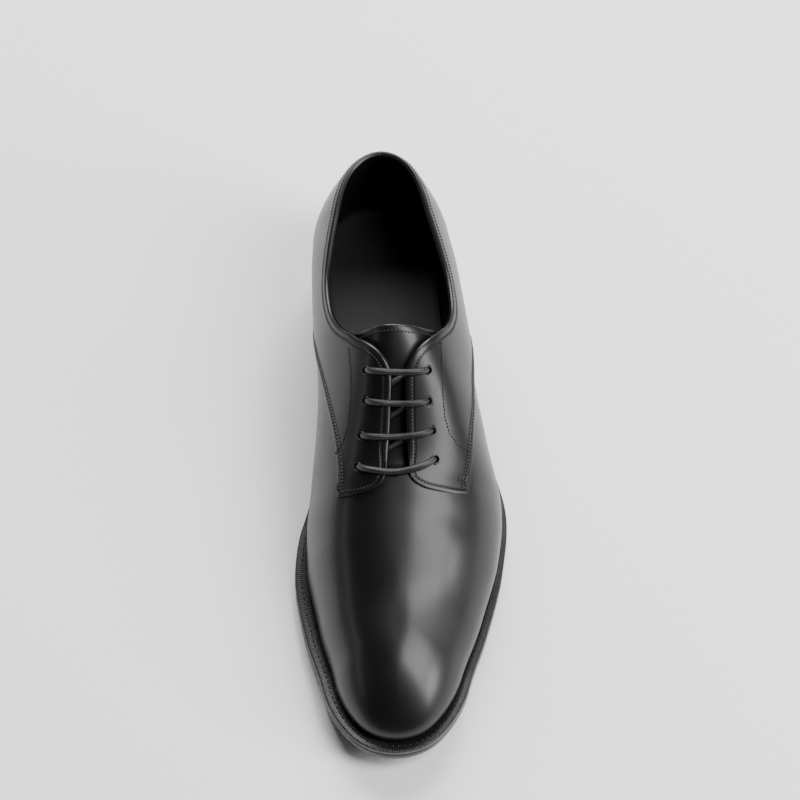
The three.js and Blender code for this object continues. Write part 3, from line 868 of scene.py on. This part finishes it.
def add_stitch(shape, spot, along, normal, size, thickness):
    across = normal.cross(along).normalized()
    upward = along.cross(across)
    turn = Matrix((along, across, upward)).transposed().to_4x4()
    scale = Matrix.Diagonal((size / 2, thickness / 2, thickness / 2, 1.0))
    bmesh.ops.create_uvsphere(
        shape, u_segments=6, v_segments=4, radius=1.0,
        matrix=Matrix.Translation(spot) @ turn @ scale @ Matrix.Rotation(math.pi / 2, 4, "Y"))


def tree_of(spots):
    """A search tree that finds the nearest of the spots."""
    tree = KDTree(len(spots))
    for index, spot in enumerate(spots):
        tree.insert(spot, index)
    tree.balance()
    return tree


def stitch_rows(name, rows, pitch, size, thickness):
    """Stitches with sizes in mm, on rows of (place, normal) in scene metres."""
    shape = bmesh.new()
    count = 0
    for row in rows:
        spots = [spot for spot, _ in row]
        tree = tree_of(spots)
        for spot, along in resampled(spots, pitch * MM):
            normal = row[tree.find(spot)[1]][1]
            seat = spot + normal * (thickness * STITCH_PROUD * MM)
            add_stitch(shape, seat, along, normal, size * MM, thickness * MM)
            count += 1
    print(name, "stitches:", count)
    return finish_piece(name, shape, [thread])


# %% Stitching of the welt
WELT_ROW_SHARE = 0.52  # of the ledge, from the edge inwards
WELT_ROW_HEIGHT = 3.78
WELT_STITCH_PITCH, WELT_STITCH_SIZE, WELT_STITCH_THICKNESS = 3.0, 2.4, 0.75


def welt_row():
    row = []
    for column in range(RING_COLUMNS + 1):
        around = 2 * column / RING_COLUMNS
        point, _ = inset_point(around, ledge_at(around) * WELT_ROW_SHARE)
        height = sole_bottom(point.y) + OUTSOLE_THICKNESS + WELT_ROW_HEIGHT
        row.append((scene_place((point.x, point.y, height)), Vector((0.0, 0.0, 1.0))))
    return row


stitch_rows("welt_stitching", [welt_row()], WELT_STITCH_PITCH, WELT_STITCH_SIZE, WELT_STITCH_THICKNESS)

# %% [markdown]
# # Insole and sock
# Inside, the foot rests on a leather insole covered with a full sock of lining leather. It is a ring with
# a middle like the outsole, dished a little towards the middle line.

# %% Insole
INSOLE_PROFILE = [  # inset in mm, share of the way to the middle, height above the upper's foot in mm
    (6.0, 1.0, -4.0), (6.0, 0.3, -4.0), (0.0, 0.0, -4.0), (0.0, 0.0, 2.4), (0.3, 0.0, 2.85),
    (0.9, 0.0, 3.0), (4.0, 0.0, 2.7), (6.0, 0.3, 2.35), (6.0, 0.65, 2.2), (6.0, 1.0, 2.15),
]
insole_shape = ring_shape(
    INSOLE_PROFILE, lambda around, inset: ledge_at(around) + WALL + CLEARANCE + inset, upper_foot)
finish_piece("insole_sock", insole_shape, [lining], ["insole"])

# %% [markdown]
# # Openings of the upper
# Two lines open the upper: the collar, drawn in the side view, and the throat between the facings,
# drawn in plan. A point of the form is inside an opening when it is above the one or between the sides
# of the other. Both can be drawn back by a margin, which leaves room for the rolled edge.

# %% Collar and throat
COLLAR = [  # along, height above the welt as a share of the collar height
    (0.565, 1.42), (0.592, 1.34), (0.615, 1.2), (0.645, 1.02), (0.69, 0.88), (0.76, 0.83),
    (0.83, 0.9), (0.89, 0.97), (0.95, 1.0), (1.02, 1.0),
]
COLLAR_TILT = -0.04
THROAT = [  # along, half width of the gap
    (0.415, 0.052), (0.47, 0.037), (0.5, 0.034), (0.54, 0.031), (0.557, 0.041), (0.58, 0.09),
    (0.615, 0.19),
]
THROAT_SHIFT = 0.006
WALL_THROAT_START = 0.414
WALL_THROAT_FULL = 0.432
COLLAR_FRONT = 0.565


def above_collar(point, margin):
    along = along_at(point.y)
    if along < COLLAR_FRONT:
        return False
    line = COLLAR_HEIGHT * from_table(COLLAR, HEIGHT, along) - COLLAR_TILT * point.x
    return point.z > upper_foot(point.y) + line - margin


def between_facings(point, margin):
    along = along_at(point.y)
    if along > THROAT[-1][ALONG]:
        return False
    half = BALL_WIDTH * from_table(THROAT, HALF, along) + margin
    return abs(point.x - ridge_offset(point.y) - THROAT_SHIFT * BALL_WIDTH) < half


def in_wall_throat(point, margin):
    """The wall's own opening starts further back, under the facings, and its front end is round."""
    along = along_at(point.y)
    if along < WALL_THROAT_START or along > THROAT[-1][ALONG]:
        return False
    opened = min((along - WALL_THROAT_START) / (WALL_THROAT_FULL - WALL_THROAT_START), 1.0)
    half = (BALL_WIDTH * from_table(THROAT, HALF, along) + margin) * math.sqrt(1 - (1 - opened) ** 2)
    return abs(point.x - ridge_offset(point.y) - THROAT_SHIFT * BALL_WIDTH) < half


# %% [markdown]
# # Vamp and lining
# The wall runs round the whole last: in front it is the vamp, the plain sheet of calf over the toe, and
# inside it is the lining. It is one sheet from the foot to the ridge, where its two sides are welded,
# and it stops short of the collar and the throat, which the quarters' rolled edges cover. The creases of
# use are missing on a new shoe, but the calf still shows the last's soft troughs: one across the end of
# the toe box and a very shallow one where the quarters draw the vamp down.

# %% Soft troughs of the vamp
TROUGH_REACH = 0.55
TROUGHS = [  # along at the ridge, slant towards the sides, half width, depth in mm
    (0.215, 0.1, 0.05, 1.2),
    (0.365, -0.06, 0.02, 0.25),
]


def trough_depth(point):
    along = along_at(point.y)
    out = abs(point.x - ridge_offset(point.y)) / BALL_WIDTH
    depth = 0.0
    for place, slant, half_width, deep in TROUGHS:
        distance = (along - place - slant * out) / half_width
        depth += deep * math.exp(-distance * distance) * max(0.0, 1 - (out / TROUGH_REACH) ** 2)
    return depth


# %% Vamp with its lining
WALL_COLUMNS = 320
WALL_ROWS = 46
WALL_MARGIN = 1.9
FOOT_TUCK = 0.6
LEAST_TROUGH = 0.01


def wall_tops():
    tops = []
    for column in range(WALL_COLUMNS + 1):
        around = 2 * column / WALL_COLUMNS
        along = ridge_place(station(around)[2])
        if along < WALL_THROAT_START:
            tops.append(1.0)
        else:
            tops.append(rise_until(
                around, lambda p: above_collar(p, WALL_MARGIN) or in_wall_throat(p, WALL_MARGIN)))
    return tops


WALL_TOPS = wall_tops()


def wall_place(u, v):
    top = WALL_TOPS[round(u * WALL_COLUMNS)]
    around = 2 * u
    row = round(v * WALL_ROWS)
    if row == 0:
        return form_point(around, 0.0) - Vector((0.0, 0.0, FOOT_TUCK))
    rise = top * (row - 1) / (WALL_ROWS - 1)
    point = form_point(around, rise)
    depth = trough_depth(point)
    if depth > LEAST_TROUGH and rise < RIDGE_RISE:
        return point - form_normal(around, rise) * depth
    return point - Vector((0.0, 0.0, depth))


wall_shape = sheet(WALL_COLUMNS, WALL_ROWS, wall_place)
weld(wall_shape)
face_outwards(wall_shape)
vamp = finish_piece("vamp_and_lining", wall_shape, [vamp_calf, lining], ["upper"])
add_wall(vamp, WALL, inner_material=1)
print("vamp and lining faces:", len(vamp.data.polygons))

# %% [markdown]
# # Quarters
# Each quarter wraps one side from the heel seam to the facing, lies on the wall and ends in front in a
# rounded lobe. Cutting it out of the form with a boolean would leave ragged edges, so it is a sheet
# between four sides: the lower edge, the lobe, the collar with the facing, and the heel seam. Every
# point inside is blended from the four. At the collar and the facing the leather is rolled over and runs
# down inside, which gives the soft bright rim. The other edges are cut, so they are only eased.

# %% The four sides of a quarter
LOBE = [  # distance from the ridge, along
    (0.045, 0.42), (0.055, 0.409), (0.085, 0.396), (0.15, 0.3865), (0.25, 0.385), (0.34, 0.391),
    (0.6, 0.42),
]
QUARTER_EDGE = [  # along, height above the welt as a share of the instep height
    (0.36, 0.62), (0.4, 0.65), (0.44, 0.67), (0.49, 0.65), (0.55, 0.56), (0.61, 0.44), (0.67, 0.3),
    (0.72, 0.14), (0.745, 0.0), (0.76, -0.1),
]
QUARTER_COLUMNS = 150
QUARTER_ROWS = 36
ROLL_ROWS = 7
FLANGE_ROWS = 2
FOOT_SHARE = 0.42
CORNER_OUT = 0.34
QUARTER_GAP = 0.1  # mm left between a quarter and the wall under it
QUARTER_FOOT = 0.745  # along: from here back, a quarter reaches down to the welt
ROLL_RADIUS = (WALL + QUARTER_LEATHER) / 2 + QUARTER_GAP
FLANGE = 3.2
ROLL_FULL = 0.45
ROLL_LEAST = 0.15
TOP_SMOOTHING = 3


def roll_share(along):
    """The rolled edge fades to a cut edge where the facing turns into the lobe."""
    return max(ROLL_LEAST, smoothstep(along, THROAT[0][ALONG], ROLL_FULL))


def quarter_sides(side):
    """(around, rise) along the lower edge, the lobe and the top edge."""
    way_foot = around_of(1, QUARTER_FOOT)
    throat_out = THROAT[0][HALF] + side * THROAT_SHIFT + ROLL_LEAST * ROLL_RADIUS / BALL_WIDTH
    way_corner = around_of(1, from_table(LOBE, HALF, CORNER_OUT))
    way_throat = around_of(1, from_table(LOBE, HALF, throat_out))

    def ways(end):
        found = []
        for column in range(QUARTER_COLUMNS + 1):
            u = column / QUARTER_COLUMNS
            if u < FOOT_SHARE:
                found.append(way_foot * u / FOOT_SHARE)
            else:
                found.append(way_foot + (end - way_foot) * (u - FOOT_SHARE) / (1 - FOOT_SHARE))
        return [way if side > 0 else 2 - way for way in found]

    def over_edge(point):
        share = from_table(QUARTER_EDGE, HEIGHT, along_at(point.y))
        return point.z > upper_foot(point.y) + INSTEP_HEIGHT * share

    def opened(point):
        margin = ROLL_RADIUS * roll_share(along_at(point.y))
        return above_collar(point, ROLL_RADIUS) or between_facings(point, margin)

    lower = []
    for column, around in enumerate(ways(way_corner)):
        foot = column / QUARTER_COLUMNS < FOOT_SHARE
        lower.append((around, 0.0 if foot else rise_until(around, over_edge, -QUARTER_LEATHER)))
    top = [(around, rise_until(around, opened, -QUARTER_LEATHER)) for around in ways(way_throat)]
    lobe = []
    for row in range(QUARTER_ROWS + 1):
        out = CORNER_OUT + (throat_out - CORNER_OUT) * row / QUARTER_ROWS
        around = around_of(side, from_table(LOBE, HALF, out))
        lobe.append((around, rise_at_reach(around, out * BALL_WIDTH, -QUARTER_LEATHER)))
    return lower, lobe, top


def smoothed(values, passes):
    for _ in range(passes):
        inner = [(values[i - 1] + 2 * values[i] + values[i + 1]) / 4 for i in range(1, len(values) - 1)]
        values = [values[0], *inner, values[-1]]
    return values


# %% Blending the four sides
def quarter_grid(side):
    """(around, rise) at every column and row of a quarter."""
    lower, lobe, top = quarter_sides(side)
    top_rises = smoothed([rise for _, rise in top], TOP_SMOOTHING)
    top = [(around, rise) for (around, _), rise in zip(top, top_rises)]
    pairs = {}
    for column in range(QUARTER_COLUMNS + 1):
        u = column / QUARTER_COLUMNS
        for row in range(QUARTER_ROWS + 1):
            v = row / QUARTER_ROWS
            blended = []
            for part in (0, 1):
                start, end = lower[column][part], top[column][part]
                heel = lower[0][part] * (1 - v) + top[0][part] * v
                front = lobe[row][part]
                front += (lower[-1][part] - lobe[0][part]) * (1 - v)
                front += (top[-1][part] - lobe[-1][part]) * v
                corners = (lower[0][part] * (1 - v) + top[0][part] * v) * (1 - u)
                corners += (lower[-1][part] * (1 - v) + top[-1][part] * v) * u
                blended.append(start * (1 - v) + end * v + heel * (1 - u) + front * u - corners)
            pairs[column, row] = tuple(blended)
    return pairs


def rolled_edge(edge, normal, outward, radius, share=1.0):
    """Places that turn over an edge in a half circle and run down inside it as a flange."""
    rows = []
    for step in range(1, ROLL_ROWS + FLANGE_ROWS + 1):
        angle = math.pi * min(step / ROLL_ROWS, 1.0)
        down = share * FLANGE * max(step - ROLL_ROWS, 0) / FLANGE_ROWS
        turn = normal * (math.cos(angle) - 1) + outward * math.sin(angle)
        rows.append(edge + turn * (share * radius) - outward * down)
    return rows


def quarter_points(side):
    """Places in mm of a quarter's outer face, its rolled edge and the flange inside."""
    pairs = quarter_grid(side)
    points = {}
    for (column, row), (around, rise) in pairs.items():
        points[column, row] = form_point(around, rise, -QUARTER_LEATHER)
        if row == 0 and column / QUARTER_COLUMNS < FOOT_SHARE:
            points[column, row] -= Vector((0.0, 0.0, FOOT_TUCK))
    for column in range(QUARTER_COLUMNS + 1):
        before, after = max(column - 1, 0), min(column + 1, QUARTER_COLUMNS)
        edge = points[column, QUARTER_ROWS]
        tangent = (points[after, QUARTER_ROWS] - points[before, QUARTER_ROWS]).normalized()
        normal = form_normal(*pairs[column, QUARTER_ROWS], -QUARTER_LEATHER)
        outward = normal.cross(tangent).normalized()
        if outward.dot(edge - points[column, QUARTER_ROWS - 3]) < 0:
            outward = -outward
        rolled = rolled_edge(edge, normal, outward, ROLL_RADIUS, roll_share(along_at(edge.y)))
        for step, place in enumerate(rolled, 1):
            points[column, QUARTER_ROWS + step] = place
    return points


# %% Making the quarters
ALL_ROWS = QUARTER_ROWS + ROLL_ROWS + FLANGE_ROWS
QUARTER_THICKNESS = QUARTER_LEATHER - QUARTER_GAP


def quarter(name, side):
    points = quarter_points(side)
    shape = sheet(QUARTER_COLUMNS, ALL_ROWS,
                  lambda u, v: points[round(u * QUARTER_COLUMNS), round(v * ALL_ROWS)])
    bmesh.ops.recalc_face_normals(shape, faces=shape.faces)
    face_outwards(shape)
    piece = finish_piece(name, shape, [quarter_calf])
    top = [points[column, QUARTER_ROWS] for column in range(QUARTER_COLUMNS + 1)]
    lobe = [points[QUARTER_COLUMNS, row] for row in range(QUARTER_ROWS, -1, -1)]
    foot = round(FOOT_SHARE * QUARTER_COLUMNS)
    lower = [points[column, 0] for column in range(QUARTER_COLUMNS, foot - 1, -1)]
    edges = [[scene_place(point) for point in path] for path in (top, lobe, lower)]
    return piece, edges


lateral_quarter, lateral_edges = quarter("quarter_lateral", 1)
medial_quarter, medial_edges = quarter("quarter_medial", -1)
print("faces of a quarter:", len(lateral_quarter.data.polygons))


# %% Distance to the edge, for the pressed stitch line
EDGE_MARK = 0.3
QUARTER_EASE = 0.35


def mark_edge_distance(piece, edges):
    """Gives each point its distance to the nearest edge line of the panel, in mm."""
    tree = tree_of([spot for path in edges for spot, _ in resampled(path, EDGE_MARK * MM)])
    layer = piece.data.attributes.new("edge_mm", "FLOAT", "POINT")
    for vert, value in zip(piece.data.vertices, layer.data):
        value.value = tree.find(vert.co)[2] / MM


for piece, edges in ((lateral_quarter, lateral_edges), (medial_quarter, medial_edges)):
    mark_edge_distance(piece, edges)
    add_wall(piece, QUARTER_THICKNESS)
    soften(piece, QUARTER_EASE)

# %% [markdown]
# # Stitch rows of the upper
# The quarters are closed with fine rows about two millimetres inside their edges, a second row along the
# lower edge where the pull is, an inner row that holds the facing's lining, and a bar tack at each front
# corner. Each row is the edge moved into the panel and dropped onto its surface.

# %% Paths inside an edge
STITCH_PITCH = 1.7
STITCH_SIZE = 1.25
STITCH_THICKNESS = 0.75


def surface_of(piece):
    shape = bmesh.new()
    shape.from_mesh(piece.data)
    tree = BVHTree.FromBMesh(shape)
    shape.free()
    return tree


def inside_path(surface, path, distance, inward_hint):
    """The path moved into the panel by a distance in mm, with the surface's normal at each point."""
    row = []
    for before, spot, after in zip(path, path[1:], path[2:]):
        _, normal, _, _ = surface.find_nearest(spot)
        inward = normal.cross((after - before).normalized()).normalized()
        if inward.dot(inward_hint(spot) - spot) < 0:
            inward = -inward
        place, normal, _, _ = surface.find_nearest(spot + inward * distance * MM)
        row.append((place, normal))
    return row


PANEL_FRONT, PANEL_BACK = (0.5, 0.55), (0.86, 0.1)  # along and rise of two places inside a quarter
PANEL_BACK_FROM = 0.8  # along from which the back one alone says where the panel is
SECOND_ROW = 1.8
SECOND_ROW_POINTS = 70


def quarter_rows(piece, edges, side):
    """Rows along the edges of a quarter and a second one along its lower edge, and its surface."""
    surface = surface_of(piece)
    front, back = [
        scene_place(form_point(around_of(side, along), rise, -QUARTER_LEATHER))
        for along, rise in (PANEL_FRONT, PANEL_BACK)
    ]

    def towards_panel(spot):
        share = smoothstep(along_at(spot.y / MM), PANEL_FRONT[0], PANEL_BACK_FROM)
        return front.lerp(back, share)

    rows = [inside_path(surface, path, STITCH_INSET, towards_panel) for path in edges]
    lower = edges[-1][:SECOND_ROW_POINTS]
    rows.append(inside_path(surface, lower, STITCH_INSET + SECOND_ROW, towards_panel))
    return rows, surface


lateral_rows, lateral_surface = quarter_rows(lateral_quarter, lateral_edges, 1)
medial_rows, medial_surface = quarter_rows(medial_quarter, medial_edges, -1)

# %% Inner row of the facing, and the bar tacks
FACING_ROW = [  # along, distance from the ridge: the row runs beside the eyelets and turns to the side
    (0.606, 0.212), (0.57, 0.21), (0.53, 0.21), (0.495, 0.222), (0.474, 0.245), (0.463, 0.28),
    (0.461, 0.31), (0.463, 0.345),
]
FACING_STEPS = 6
TACK_ALONG = 0.412
TACK_OUTS = (0.292, 0.306, 0.32)
TACK_SLANT = (0.35, 0.94)
TACK_SIZE, TACK_THICKNESS, TACK_PROUD = 4.2, 0.8, 0.2


def on_quarter(side, surface, along, out):
    """Place and normal on a quarter; out is the distance from the ridge as a share of the ball width."""
    point, _ = above_form(beside_ridge(along, side * out), along, -QUARTER_LEATHER, 0.0)
    place, normal, _, _ = surface.find_nearest(scene_place(point))
    return place, normal


def facing_row(side, surface):
    row = []
    for (start, start_out), (end, end_out) in zip(FACING_ROW, FACING_ROW[1:]):
        for step in range(FACING_STEPS):
            t = step / FACING_STEPS
            along = start + (end - start) * t
            row.append(on_quarter(side, surface, along, start_out + (end_out - start_out) * t))
    return row


facing_rows = [facing_row(1, lateral_surface), facing_row(-1, medial_surface)]
stitch_rows("quarter_stitching", lateral_rows + medial_rows + facing_rows,
            STITCH_PITCH, STITCH_SIZE, STITCH_THICKNESS)


def bar_tacks():
    shape = bmesh.new()
    for side, surface in ((1, lateral_surface), (-1, medial_surface)):
        for out in TACK_OUTS:
            place, normal = on_quarter(side, surface, TACK_ALONG, out)
            along = Vector((side * TACK_SLANT[0], TACK_SLANT[1], 0.0))
            along = (along - normal * along.dot(normal)).normalized()
            seat = place + normal * TACK_PROUD * MM
            add_stitch(shape, seat, along, normal, TACK_SIZE * MM, TACK_THICKNESS * MM)
    finish_piece("bar_tacks", shape, [thread])


bar_tacks()

# %% [markdown]
# # Back strip
# A narrow strip of calf covers the seam where the quarters meet at the heel. It is a small sheet a
# little above their surface, wider at the foot, with its cut edges eased.

# %% Back strip
STRIP_HALF_TOP = 0.03
STRIP_HALF_FOOT = 0.05
STRIP_THICKNESS = 0.5
STRIP_DROP = 4.0
STRIP_TAPER_END = 0.7
STRIP_COLUMNS, STRIP_ROWS = 16, 30
STRIP_EASE = 0.3
heel_top = rise_until(0.0, lambda p: above_collar(p, STRIP_DROP), -QUARTER_LEATHER)


def strip_place(u, v):
    rise = heel_top * v
    half = STRIP_HALF_FOOT + (STRIP_HALF_TOP - STRIP_HALF_FOOT) * smoothstep(v, 0.0, STRIP_TAPER_END)
    around = (2 * u - 1) * half
    point = form_point(around % 2, rise, -QUARTER_LEATHER - STRIP_THICKNESS)
    return point - Vector((0.0, 0.0, FOOT_TUCK if v == 0 else 0.0))


strip_shape = sheet(STRIP_COLUMNS, STRIP_ROWS, strip_place)
face_outwards(strip_shape)
strip = finish_piece("back_strip", strip_shape, [vamp_calf])
add_wall(strip, STRIP_THICKNESS)
soften(strip, STRIP_EASE)

# %% [markdown]
# # Eyelets
# The eyelets are plain punched holes, four in each facing, without metal. A boolean cuts them through
# quarter and wall, because a punch does just that, and each rim gets a thin ring where the punch has
# pressed the leather round the hole.

# %% Punching the eyelets
EYELETS = [  # lateral along, medial along, distance from the ridge
    (0.555, 0.559, 0.142), (0.513, 0.517, 0.142), (0.473, 0.471, 0.162), (0.432, 0.428, 0.178),
]
RIM_RADIUS = 0.4
RIM_SIDES = 8
PUNCH_RADIUS = EYELET_DIAMETER / 2 * MM
PUNCH_DEPTH = 11.0
PUNCH_SIDES = 28


def eyelet_seats():
    """For each eyelet, the matrix that stands it square on the quarter."""
    seats = []
    for lateral, medial, out in EYELETS:
        for side, along in ((1, lateral), (-1, medial)):
            point, normal = above_form(beside_ridge(along, side * out), along, -QUARTER_LEATHER, 0.0)
            turn = normal.to_track_quat("Z", "Y").to_matrix().to_4x4()
            seats.append(Matrix.Translation(scene_place(point)) @ turn)
    return seats


def punch_eyelets(seats, pieces):
    punch = bmesh.new()
    for seat in seats:
        bmesh.ops.create_cone(
            punch, cap_ends=True, segments=PUNCH_SIDES, radius1=PUNCH_RADIUS, radius2=PUNCH_RADIUS,
            depth=PUNCH_DEPTH * MM, matrix=seat)
    tool = new_object("punch", mesh_from("punch", punch))
    for piece in pieces:
        hole = piece.modifiers.new("eyelets", "BOOLEAN")
        hole.operation = "DIFFERENCE"
        hole.solver = "EXACT"
        hole.object = tool
    depsgraph = bpy.context.evaluated_depsgraph_get()
    cut = [bpy.data.meshes.new_from_object(piece.evaluated_get(depsgraph)) for piece in pieces]
    for piece, mesh in zip(pieces, cut):
        piece.modifiers.clear()
        piece.data = mesh
    bpy.data.objects.remove(tool)


def eyelet_rims(seats):
    shape = bmesh.new()
    rim = Matrix.Translation((PUNCH_RADIUS, 0.0, 0.0)) @ Matrix.Rotation(math.pi / 2, 4, "X")
    for seat in seats:
        circle = bmesh.ops.create_circle(
            shape, segments=RIM_SIDES, radius=RIM_RADIUS * MM, matrix=rim)["verts"]
        edges = list({edge for vert in circle for edge in vert.link_edges})
        bmesh.ops.spin(
            shape, geom=circle + edges, cent=(0.0, 0.0, 0.0), axis=(0.0, 0.0, 1.0), dvec=(0.0, 0.0, 0.0),
            angle=2 * math.pi, steps=PUNCH_SIDES, use_merge=True, use_duplicate=False)
        ring = [vert for vert in shape.verts if not vert.tag]
        for vert in ring:
            vert.tag = True
        bmesh.ops.transform(shape, matrix=seat, verts=ring)
    bmesh.ops.recalc_face_normals(shape, faces=shape.faces)
    finish_piece("eyelet_rims", shape, [vamp_calf])


seats = eyelet_seats()
punch_eyelets(seats, [vamp, lateral_quarter, medial_quarter])
eyelet_rims(seats)
print("eyelets:", len(seats))

# %% [markdown]
# # Tongue
# The tongue lies under the facings and the lace and ends just behind the top eyelets. It is a sheet
# whose depth under the form grows where the lace crosses over it. Towards its end it lies flatter than
# the instep. The end is rolled over and stitched, which gives the pale band at the front of the mouth.

# %% Tongue
TONGUE = [  # along, half width
    (0.372, 0.12), (0.42, 0.18), (0.54, 0.22), (0.6, 0.235), (0.64, 0.24),
]
TONGUE_END = 0.6235
TONGUE_END_BOW = 0.02
TONGUE_LIFT = 5.0
TONGUE_LIFT_START = 0.56
TONGUE_DROP_START, TONGUE_DROP_END = 0.395, 0.44
TONGUE_COLUMNS, TONGUE_ROWS = 34, 44
TONGUE_ROLL = 1.25
TONGUE_WALL = 1.1
TONGUE_STITCH_INSET = 2.2
TONGUE_MIDDLE = 0.5
LACE_CLEARANCE = 0.5
INSTEP_LEAN = 0.87  # about the cosine of the instep's slope under the lace


def tongue_depth(along):
    shallow = WALL + CLEARANCE
    lace = (LACE_DIAMETER + 2 * LACE_CLEARANCE) / INSTEP_LEAN
    return shallow + lace * smoothstep(along, TONGUE_DROP_START, TONGUE_DROP_END)


def tongue_points():
    points = {}
    for column in range(TONGUE_COLUMNS + 1):
        out = 2 * column / TONGUE_COLUMNS - 1
        end = TONGUE_END + TONGUE_END_BOW * out * out
        for row in range(TONGUE_ROWS + 1):
            along = TONGUE[0][ALONG] + (end - TONGUE[0][ALONG]) * row / TONGUE_ROWS
            half = BALL_WIDTH * from_table(TONGUE, HALF, along)
            x = ridge_offset(lengthwise(along)) + out * half
            flatter = TONGUE_LIFT * out * out * smoothstep(along, TONGUE_LIFT_START, TONGUE_END)
            spot, _ = above_form(x, along, tongue_depth(along), 0.0)
            points[column, row] = spot + Vector((0.0, 0.0, flatter))
        ahead = (points[column, TONGUE_ROWS] - points[column, TONGUE_ROWS - 1]).normalized()
        _, normal = above_form(x, along, tongue_depth(along), 0.0)
        rolled = rolled_edge(points[column, TONGUE_ROWS], normal, ahead, TONGUE_ROLL)
        for step, place in enumerate(rolled, 1):
            points[column, TONGUE_ROWS + step] = place
    return points


tongue_places = tongue_points()
TONGUE_ALL = TONGUE_ROWS + ROLL_ROWS + FLANGE_ROWS
tongue_shape = sheet(TONGUE_COLUMNS, TONGUE_ALL,
                     lambda u, v: tongue_places[round(u * TONGUE_COLUMNS), round(v * TONGUE_ALL)])
face_outwards(tongue_shape)
tongue = finish_piece("tongue_calf", tongue_shape, [vamp_calf], ["tongue"])
tongue_surface = surface_of(tongue)
end_path = [scene_place(tongue_places[column, TONGUE_ROWS]) for column in range(TONGUE_COLUMNS + 1)]
add_wall(tongue, TONGUE_WALL)
tongue_middle = scene_place(form_point(around_of(1, TONGUE_MIDDLE), 1.0))
tongue_row = inside_path(tongue_surface, end_path, TONGUE_STITCH_INSET, lambda spot: tongue_middle)
stitch_rows("tongue_stitching", [tongue_row], STITCH_PITCH, STITCH_SIZE, STITCH_THICKNESS)

# %% [markdown]
# # Lace
# The lace is one round cord. It starts inside at the top inner eyelet, crosses to the outer one, slants
# back underneath to the next and so on down, and its other end runs up inside to the top again. Its
# hidden ends simply stop there. The points are the same ones as the solid's, joined by a
# smooth curve and wrapped in a tube whose UV map, in millimetres, carries the braid.

# %% Route of the lace
SAGS = (2.6, 2.4, 3.0, 5.6)  # mm that each bar hangs towards the toe
DIP = 0.9
DIP_SHARE = 0.2
ENTRY_DEPTH = 0.8
ENTRY_ASIDE = 0.005
BAR_SHARES = (-1, -0.75, -0.45, -0.15, 0.15, 0.45, 0.75, 1)
SLANT_SHARES = (0.25, 0.5, 0.75)
LAST_RUN_SHARES = (0.2, 0.6, 1.0)
LAST_RUN_ASIDE = (1.5 * LACE_DIAMETER + EYELET_DIAMETER) / BALL_WIDTH
LACE_GAP = 0.15  # mm between the lace and the leather under it


def lace_route():
    over = LACE_DIAMETER / 2 + LACE_GAP
    under = -((WALL + QUARTER_LEATHER) * INSTEP_LEAN + LACE_DIAMETER / 2 + LACE_CLEARANCE)

    def place(along, out, depth):
        return above_form(beside_ridge(along, out), along, -QUARTER_LEATHER, depth)[0]

    route = []
    for index, (lateral, medial, out) in enumerate(EYELETS):
        route.append(place(medial, -out, under))
        for share in BAR_SHARES:
            hang = SAGS[index] * (1 - share * share) / LENGTH
            along = medial + (lateral - medial) * (share + 1) / 2 - hang
            if abs(share) == 1:
                route.append(place(along, share * (out - ENTRY_ASIDE), -ENTRY_DEPTH))
            else:
                route.append(place(along, share * out, over - (DIP if abs(share) < DIP_SHARE else 0.0)))
        route.append(place(lateral, out, under))
        if index + 1 < len(EYELETS):
            _, next_medial, next_out = EYELETS[index + 1]
            for share in SLANT_SHARES:
                along = lateral + (next_medial - lateral) * share
                route.append(place(along, out - (next_out + out) * share, under))
    top_along, _, top_out = EYELETS[0]
    low_along, _, low_out = EYELETS[-1]
    for share in LAST_RUN_SHARES:
        along = low_along + (top_along - low_along) * share
        route.append(place(along, low_out + (top_out - low_out) * share + LAST_RUN_ASIDE, under))
    return route


def curved(points, steps):
    """A smooth curve through all the points."""
    ends = [2 * points[0] - points[1], *points, 2 * points[-1] - points[-2]]
    curve = []
    for a, b, c, d in zip(ends, ends[1:], ends[2:], ends[3:]):
        for step in range(steps):
            t = step / steps
            curve.append((2 * b + (c - a) * t + (2 * a - 5 * b + 4 * c - d) * t * t
                          + (3 * b - a - 3 * c + d) * t ** 3) / 2)
    return [*curve, points[-1]]


# %% Tube of the lace
LACE_SIDES = 16
CURVE_STEPS = 6
BRAID_ROUND = 8 * STRAND  # mm of braid round the lace
lace_path = curved(lace_route(), CURVE_STEPS)


def path_frames(path):
    """Direction and two crosswise directions at each point, carried along without twist."""
    frames = []
    across = None
    for index, spot in enumerate(path):
        ahead = path[min(index + 1, len(path) - 1)] - path[max(index - 1, 0)]
        ahead.normalize()
        if across is None:
            across = ahead.cross(Vector((0.0, 0.0, 1.0))).normalized()
        across = (across - ahead * across.dot(ahead)).normalized()
        frames.append((spot, across, ahead.cross(across)))
    return frames


lace_frames = path_frames(lace_path)
lace_lengths = [0.0]
for start, end in zip(lace_path, lace_path[1:]):
    lace_lengths.append(lace_lengths[-1] + (end - start).length)
LACE_STEPS = len(lace_path) - 1


def lace_place(u, v):
    spot, across, upward = lace_frames[round(u * LACE_STEPS)]
    angle = 2 * math.pi * v
    return spot + (across * math.cos(angle) + upward * math.sin(angle)) * LACE_DIAMETER / 2


def lace_millimetres(u, v):
    return lace_lengths[round(u * LACE_STEPS)], v * BRAID_ROUND


lace_shape = sheet(LACE_STEPS, LACE_SIDES, lace_place, lace_millimetres)
bmesh.ops.remove_doubles(lace_shape, verts=lace_shape.verts, dist=WELD)
bmesh.ops.holes_fill(lace_shape, edges=lace_shape.edges, sides=LACE_SIDES)
bmesh.ops.recalc_face_normals(lace_shape, faces=lace_shape.faces)
finish_piece("lace_round", lace_shape, [braid], ["lace"])
print(f"lace of {lace_lengths[-1]:.0f} mm through the eyelets")
